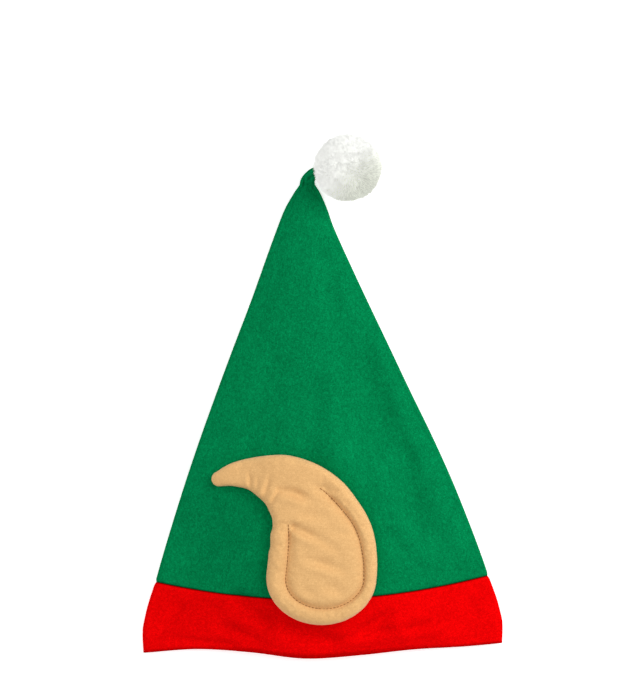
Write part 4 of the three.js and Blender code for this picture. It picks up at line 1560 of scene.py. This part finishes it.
    def detail(self, places: np.ndarray, line: np.ndarray) -> np.ndarray:
        """The height that wrinkles, the thread's groove and its puckers add to the face.

        Args:
            places: The cushion's corners, one a row.
            line: The line of the stitches.

        Returns:
            The height that each corner gains.
        """
        plan = self.form.ear
        x, y = places[:, 0] - plan.offset, places[:, 1] - plan.above_hem
        scale = (plan.reach, plan.length)
        wrinkles = sum(crease.height(x, y, scale, self.wrinkle_width) for crease in self.wrinkles)
        soft = sum(height * cloud(x, y, size, seed) for height, size, seed in self.soft_bumps)
        away, along = distance_to_line(places[:, :2], line)
        total = float(np.hypot(*np.diff(line, axis=0).T).sum())
        ends = smooth(along, 0, self.thread_fade) * (1 - smooth(along, total - self.thread_fade, total))
        groove = -self.groove * np.exp(-((away / self.groove_width) ** 2)) * ends
        drift = self.pucker_drift * cloud(x, y, *self.drift_bumps)
        ripple = np.sin(math.tau * along / self.pucker_size + drift)
        pucker = self.pucker * ripple * np.exp(-away / self.pucker_reach) * ends
        face = smooth(places[:, 2], self.face_from, self.face_full)
        off_thread = 1 - np.exp(-((away / self.thread_clear) ** 2))
        folded = wrinkles * self.wrinkle_depth * off_thread + soft * self.soft_height
        return face * folded + groove + pucker * face

    def stitches(self, body: bpy.types.Object) -> bpy.types.Object:
        """Makes the thread's stitches along the channel.

        Args:
            body: The cushion, in the plan.

        Returns:
            The stitches, in the plan.
        """
        line = self.stitch_line(EarOutline.trace(self.form.ear))
        tree = BVHTree.FromObject(body, bpy.context.evaluated_depsgraph_get())
        heights = []
        for x, y in line:
            hit = tree.ray_cast(Vector((x, y, 1.0)), Vector((0, 0, -1)))[0]
            heights.append(hit.z if hit else 0.0)
        mesh = bpy.data.meshes.new("ear_stitches")
        places = np.column_stack([line, np.array(heights) + self.stitch_lift])
        mesh.from_pydata(places.tolist(), [(i, i + 1) for i in range(len(line) - 1)], [])
        thread = bpy.data.objects.new("ear_stitches", mesh)
        bpy.context.scene.collection.objects.link(thread)
        sizes = {"Spacing": self.stitch_spacing, "Length": self.stitch_length, "Width": self.stitch_width}
        StitchNodes().apply(thread, {**sizes, "Thread": EAR_THREAD.material()})
        return thread

    def place(self, side: EarSide, plan: np.ndarray) -> np.ndarray:
        """Lays points of the plan on the hat, or under it.

        Args:
            side: Which ear they belong to.
            plan: The points, as the plan and the height over the ear's back.

        Returns:
            The points in the frame.
        """
        x, y, height = plan.T
        if side is EarSide.RIGHT:
            z = self.form.upper_surface(x, y) + self.gap + height
        else:
            z = self.form.lift(x, y) - self.gap - height
            z = np.where(z < 0, self.table_clear * np.exp(z / self.table_soft), z)
        return np.column_stack([x, y, z]) + np.array(self.shift)

    def build(self) -> list[bpy.types.Object]:
        """Builds both ears and their stitches.

        Returns:
            The pieces, dressed.
        """
        cushion = self.cushion()
        thread = self.stitches(cushion)
        made = []
        for side in EarSide:
            for source, part, finish in ((cushion, "velour", EAR_VELOUR), (thread, "stitches", EAR_THREAD)):
                piece = source.copy()
                piece.data = source.data.copy()
                piece.name = piece.data.name = f"{side.value}_{part}"
                bpy.context.scene.collection.objects.link(piece)
                set_coordinates(piece, self.place(side, coordinates(piece)))
                if side is EarSide.LEFT:
                    piece.data.flip_normals()
                piece.data.materials.clear()
                piece.data.materials.append(finish.material())
                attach(piece, BODY)
                if part == "velour":
                    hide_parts(side.value)
                made.append(piece)
        drop(cushion)
        drop(thread)
        return made


class NodesMaker:
    """A geometry node tree that is run on an object and leaves a plain mesh."""

    name = "nodes"
    inputs: tuple[tuple[str, str], ...] = ()

    def tree(self) -> bpy.types.NodeTree:
        """Builds the tree at the first call.

        Returns:
            The tree.
        """
        found = bpy.data.node_groups.get(self.name)
        if found:
            return found
        tree = bpy.data.node_groups.new(self.name, "GeometryNodeTree")
        tree.interface.new_socket("Geometry", in_out="INPUT", socket_type="NodeSocketGeometry")
        for label, kind in self.inputs:
            tree.interface.new_socket(label, in_out="INPUT", socket_type=f"NodeSocket{kind}")
        tree.interface.new_socket("Geometry", in_out="OUTPUT", socket_type="NodeSocketGeometry")
        self.build(NodeTree(tree))
        return tree

    def build(self, nodes: NodeTree) -> None:
        """Adds the nodes, of which each tree has its own."""
        raise NotImplementedError

    def apply(self, thing: bpy.types.Object, values: dict[str, Any]) -> None:
        """Runs the tree on an object.

        Args:
            thing: The object, whose mesh becomes what the tree makes.
            values: The tree's inputs by name.
        """
        tree = self.tree()
        modifier = thing.modifiers.new(self.name, "NODES")
        modifier.node_group = tree
        for item in tree.interface.items_tree:
            if item.in_out == "INPUT" and item.name in values:
                modifier[item.identifier] = values[item.name]
        apply_modifiers(thing)


class StitchNodes(NodesMaker):
    """Short rounded stitches, evenly spaced along a line of edges."""

    name = "stitches_along_a_line"
    inputs = (("Spacing", "Float"), ("Length", "Float"), ("Width", "Float"), ("Thread", "Material"))
    STITCH = {"Segments": 6, "Rings": 5, "Radius": 0.5}  # a ball that is stretched to the thread's sizes

    def build(self, nodes: NodeTree) -> None:
        """Adds the nodes.

        Args:
            nodes: The empty tree.
        """
        given = nodes.add("NodeGroupInput").outputs
        curve = nodes.add("GeometryNodeMeshToCurve", Mesh=given["Geometry"])
        points = nodes.add("GeometryNodeCurveToPoints", {"mode": "LENGTH"}, Curve=curve.outputs[0])
        nodes.set(points.inputs["Length"], given["Spacing"])
        stitch = nodes.add("GeometryNodeMeshUVSphere", **self.STITCH)
        scale = nodes.add("ShaderNodeCombineXYZ", X=given["Width"], Y=given["Width"], Z=given["Length"])
        placed = nodes.add(
            "GeometryNodeInstanceOnPoints",
            Points=points.outputs["Points"],
            Instance=stitch.outputs["Mesh"],
            Rotation=points.outputs["Rotation"],
            Scale=scale.outputs[0],
        )
        real = nodes.add("GeometryNodeRealizeInstances", Geometry=placed.outputs[0])
        dressed = nodes.add("GeometryNodeSetMaterial", Geometry=real.outputs[0], Material=given["Thread"])
        nodes.add("NodeGroupOutput", Geometry=dressed.outputs[0])


class YarnNodes(NodesMaker):
    """Cut strands of yarn that stand out of a ball and lean together in locks."""

    name = "yarn_on_a_ball"
    inputs = (
        ("Strands", "Int"),
        ("Length", "Float"),
        ("Width", "Float"),
        ("Lock Size", "Float"),
        ("Lean", "Float"),
        ("Seed", "Int"),
        ("Yarn", "Material"),
    )
    STRAY = 0.16  # how far single strands turn off their lock's way
    SHORTEST = 0.55  # of a strand, as a share of the longest
    LOCK_SPREAD = 0.9  # by how much one lock is longer than another
    LOCK_LEAST = 0.55
    SIDES = 3  # of a strand's cone, which runs to a point
    RADIUS = 0.5  # of the cone before it is stretched to the strand's sizes
    MIDDLE = (0.5, 0.5, 0.5)  # of a noise's colour
    TONE_SEED = 3

    def build(self, nodes: NodeTree) -> None:
        """Adds the nodes.

        Args:
            nodes: The empty tree.
        """
        given = nodes.add("NodeGroupInput").outputs
        area = nodes.add("GeometryNodeAttributeStatistic", {"domain": "FACE"}, Geometry=given["Geometry"])
        face = nodes.add("GeometryNodeInputMeshFaceArea")
        nodes.set(area.inputs["Attribute"], face.outputs[0])
        density = nodes.math("DIVIDE", given["Strands"], area.outputs["Sum"])
        roots = nodes.add(
            "GeometryNodeDistributePointsOnFaces",
            Mesh=given["Geometry"],
            Density=density,
            Seed=given["Seed"],
        )
        place = nodes.add("GeometryNodeInputPosition").outputs[0]
        lock_scale = nodes.math("DIVIDE", 1.0, given["Lock Size"])
        lock = nodes.add("ShaderNodeTexNoise", Vector=place, Scale=lock_scale, Detail=1.0)
        stray = nodes.add("FunctionNodeRandomValue", {"data_type": "FLOAT_VECTOR"}, Seed=given["Seed"])
        nodes.set(stray.inputs[0], [-self.STRAY] * 3)
        nodes.set(stray.inputs[1], [self.STRAY] * 3)
        centred = nodes.vector("SUBTRACT", lock.outputs["Color"], self.MIDDLE)
        leaning = nodes.vector("ADD", roots.outputs["Normal"], nodes.vector("SCALE", centred, given["Lean"]))
        way = nodes.vector("ADD", leaning, stray.outputs[0])
        turned = nodes.add("FunctionNodeAlignRotationToVector", {"axis": "Z"}, Vector=way)
        sizes = {"Depth": 1.0, "Radius Top": 0.0, "Radius Bottom": self.RADIUS}
        strand = nodes.add("GeometryNodeMeshCone", {"fill_type": "NONE"}, Vertices=self.SIDES, **sizes)
        nodes.set(strand.inputs["Side Segments"], 1)
        longer = nodes.add("FunctionNodeRandomValue", {"data_type": "FLOAT"}, Seed=given["Seed"])
        nodes.set(longer.inputs[2], self.SHORTEST)
        nodes.set(longer.inputs[3], 1.0)
        spread = nodes.math("MULTIPLY", lock.outputs["Fac"], self.LOCK_SPREAD)
        share = nodes.math("MULTIPLY", longer.outputs[1], nodes.math("ADD", spread, self.LOCK_LEAST))
        length = nodes.math("MULTIPLY", share, given["Length"])
        scale = nodes.add("ShaderNodeCombineXYZ", X=given["Width"], Y=given["Width"], Z=length)
        placed = nodes.add(
            "GeometryNodeInstanceOnPoints",
            Points=roots.outputs["Points"],
            Instance=strand.outputs["Mesh"],
            Rotation=turned.outputs[0],
            Scale=scale.outputs[0],
        )
        tone = nodes.add("FunctionNodeRandomValue", {"data_type": "FLOAT"}, Seed=self.TONE_SEED)
        kept = nodes.add("GeometryNodeStoreNamedAttribute", {"domain": "INSTANCE"}, Name=TONE)
        nodes.set(kept.inputs["Geometry"], placed.outputs[0])
        nodes.set(kept.inputs["Value"], tone.outputs[1])
        real = nodes.add("GeometryNodeRealizeInstances", Geometry=kept.outputs[0])
        dressed = nodes.add("GeometryNodeSetMaterial", Geometry=real.outputs[0], Material=given["Yarn"])
        nodes.add("NodeGroupOutput", Geometry=dressed.outputs[0])


@dataclass
class Pompom:
    """A ball of cut yarn at the tip."""

    radius: float
    middle: Vector
    core_share: float = 0.85  # radius of the core, as a share of the pompom's
    core_level: int = 5
    root_share: float = 0.97  # the strands start at this share of the core's radius
    root_level: int = 4
    uneven: float = 0.025  # how lumpy both balls are, as a share of their radius
    lump_size: float = 9 * MM
    lump_seed: int = 12
    strands: int = 46000
    strand_length: float = 6.8 * MM
    strand_width: float = 0.95 * MM
    lock_size: float = 3.6 * MM
    lean: float = 0.9
    seed: int = 11
    table_clear: float = 0.3 * MM  # the lowest strands are bent to this height over the table
    table_soft: float = 3 * MM

    def yarn(self) -> YarnFinish:
        """Chooses the yarn's finish.

        Returns:
            The finish, which follows this ball.
        """
        return YarnFinish(
            name="cut_yarn",
            dark=(0.86, 0.87, 0.83),
            light=(1.0, 1.0, 0.99),
            fibre_size=2.4 * MM,
            cloud_size=9 * MM,
            bump=0.05 * MM,
            # painted light: the yarn glows with this share of its own colour
            painted_glow=0.55,
            middle=tuple(self.middle),
            radius=self.radius,
            # painted shade: the ball's side towards +X and -Y is darker
            shade=(0.79, 0.805, 0.745),
        )

    def core(self, name: str, share: float, level: int) -> bpy.types.Object:
        """Makes a slightly lumpy ball.

        Args:
            name: The object's name.
            share: Its radius, as a share of the pompom's.
            level: How finely it is divided.

        Returns:
            The object, in its place in the frame.
        """
        mesh = bpy.data.meshes.new(name)
        shape = bmesh.new()
        bmesh.ops.create_icosphere(shape, subdivisions=level, radius=self.radius * share)
        shape.to_mesh(mesh)
        shape.free()
        ball = bpy.data.objects.new(name, mesh)
        bpy.context.scene.collection.objects.link(ball)
        places = coordinates(ball)
        x, y, z = places.T
        lumps = 1 + self.uneven * cloud(x + z, y - z, self.lump_size, self.lump_seed)
        set_coordinates(ball, places * lumps[:, None] + np.array(self.middle))
        mesh.polygons.foreach_set("use_smooth", [True] * len(mesh.polygons))
        return ball

    def build(self) -> list[bpy.types.Object]:
        """Builds the ball and its strands.

        Returns:
            The pieces, dressed.
        """
        yarn = self.yarn().material()
        core = self.core("pompom_core", self.core_share, self.core_level)
        core.data.materials.append(yarn)
        strands = self.core("pompom_strands", self.core_share * self.root_share, self.root_level)
        YarnNodes().apply(
            strands,
            {
                "Strands": self.strands,
                "Length": self.strand_length,
                "Width": self.strand_width,
                "Lock Size": self.lock_size,
                "Lean": self.lean,
                "Seed": self.seed,
                "Yarn": yarn,
            },
        )
        places = coordinates(strands)
        low = places[:, 2] < self.table_clear
        under = places[low, 2] - self.table_clear
        places[low, 2] = self.table_clear * np.exp(under / self.table_soft)
        set_coordinates(strands, places)
        for piece in (core, strands):
            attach(piece, BODY)
            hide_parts("pompom")
        return [core, strands]


@dataclass(frozen=True)
class Lamp:
    """A square soft light that shines at the middle of the hat."""

    name: str
    place: tuple[float, float, float]
    size: float
    power: float

    def hang(self) -> None:
        """Adds the light to the scene."""
        light = bpy.data.lights.new(self.name, "AREA")
        light.size = self.size
        light.energy = self.power
        holder = bpy.data.objects.new(self.name, light)
        holder.location = self.place
        holder.rotation_euler = (-Vector(self.place)).to_track_quat("-Z", "Y").to_euler()
        bpy.context.scene.collection.objects.link(holder)


@dataclass
class Studio:
    """A pale floor, soft lights and a camera straight above, as in the photo."""

    shift: Vector
    camera_height: float = 6.0
    subject_height: float = 0.02  # of the part of the hat that has the photo's scale
    sensor: float = 36.0  # the camera's sensor, in its own millimetres
    floor_size: float = 4.0
    floor_drop: float = 0.02 * MM  # how far under the hat the floor lies
    floor_grey: float = 0.93
    floor_roughness: float = 0.9
    floor_glow: float = 0.5  # the floor is a light table, so shadows on it stay pale
    world_strength: float = 0.45
    lamps: tuple[Lamp, ...] = (
        Lamp("key", (1.25, 0.55, 1.3), 1.35, 30.5),  # from the upper right
        Lamp("fill", (-1.0, -0.3, 1.8), 2.0, 16.0),  # wide, from above
    )

    def build(self) -> None:
        """Sets the floor, the lamps, the world and the camera."""
        self.floor()
        for lamp in self.lamps:
            lamp.hang()
        self.world()
        self.camera()
        bpy.context.scene.view_settings.view_transform = "Standard"

    def floor(self) -> None:
        """Lays the floor just under the hat."""
        half = self.floor_size / 2
        corners = np.array([[-half, -half, 0], [half, -half, 0], [half, half, 0], [-half, half, 0]])
        floor = new_object("studio_floor", corners + [0, 0, -self.floor_drop], [[0, 1, 2, 3]])
        material = bpy.data.materials.new("studio_floor")
        material.use_nodes = True
        shader = material.node_tree.nodes["Principled BSDF"]
        shader.inputs["Base Color"].default_value = (self.floor_grey, self.floor_grey, self.floor_grey, 1)
        shader.inputs["Roughness"].default_value = self.floor_roughness
        shader.inputs["Emission Color"].default_value = (1, 1, 1, 1)
        shader.inputs["Emission Strength"].default_value = self.floor_glow
        floor.data.materials.append(material)

    def world(self) -> None:
        """Sets a pale world."""
        world = bpy.data.worlds.new("studio")
        world.use_nodes = True
        background = world.node_tree.nodes["Background"]
        background.inputs["Color"].default_value = (1, 1, 1, 1)
        background.inputs["Strength"].default_value = self.world_strength
        bpy.context.scene.world = world

    def camera(self) -> None:
        """Hangs the camera over the middle of the photo's frame, with the photo's scale on the hat."""
        across = (PHOTO_WIDTH / 2 - PHOTO_HEM_COLUMN) * PHOTO_SCALE
        along = (PHOTO_HEM_ROW - PHOTO_HEIGHT / 2) * PHOTO_SCALE
        data = bpy.data.cameras.new("camera")
        data.sensor_width = self.sensor
        seen = PHOTO_HEIGHT * PHOTO_SCALE
        data.lens = self.sensor * (self.camera_height - self.subject_height) / seen
        camera = bpy.data.objects.new("camera", data)
        camera.location = (across + self.shift.x, along + self.shift.y, self.camera_height)
        bpy.context.scene.collection.objects.link(camera)
        bpy.context.scene.camera = camera


def main() -> None:
    """Builds the hat piece by piece around the frame and reports each one."""
    logging.basicConfig(level=logging.INFO, format="%(name)s: %(message)s")
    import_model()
    low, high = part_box("band")
    form = HatForm()
    across = np.linspace(-1, 1, HEM_SAMPLES)
    lowest = float(form.along(-1.0, across, False).min())
    shift = Vector(((low.x + high.x) / 2, low.y - lowest, 0.0))
    felt = FeltHat(form, shift)
    crown, band = felt.crown(), felt.band()
    ears = StuffedEar(form, shift).build()
    form.flat_area(0, 1)
    form.flat_area(-1, 0)
    low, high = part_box("pompom")
    pompom = Pompom(radius=(high.z - low.z) / 2, middle=(low + high) / 2).build()
    for piece in [crown, band, *ears, *pompom]:
        triangles = sum(len(face.vertices) - 2 for face in piece.data.polygons)
        log.info("%s: %d triangles", piece.name, triangles)
    Studio(shift).build()


if __name__ == "__main__":
    main()
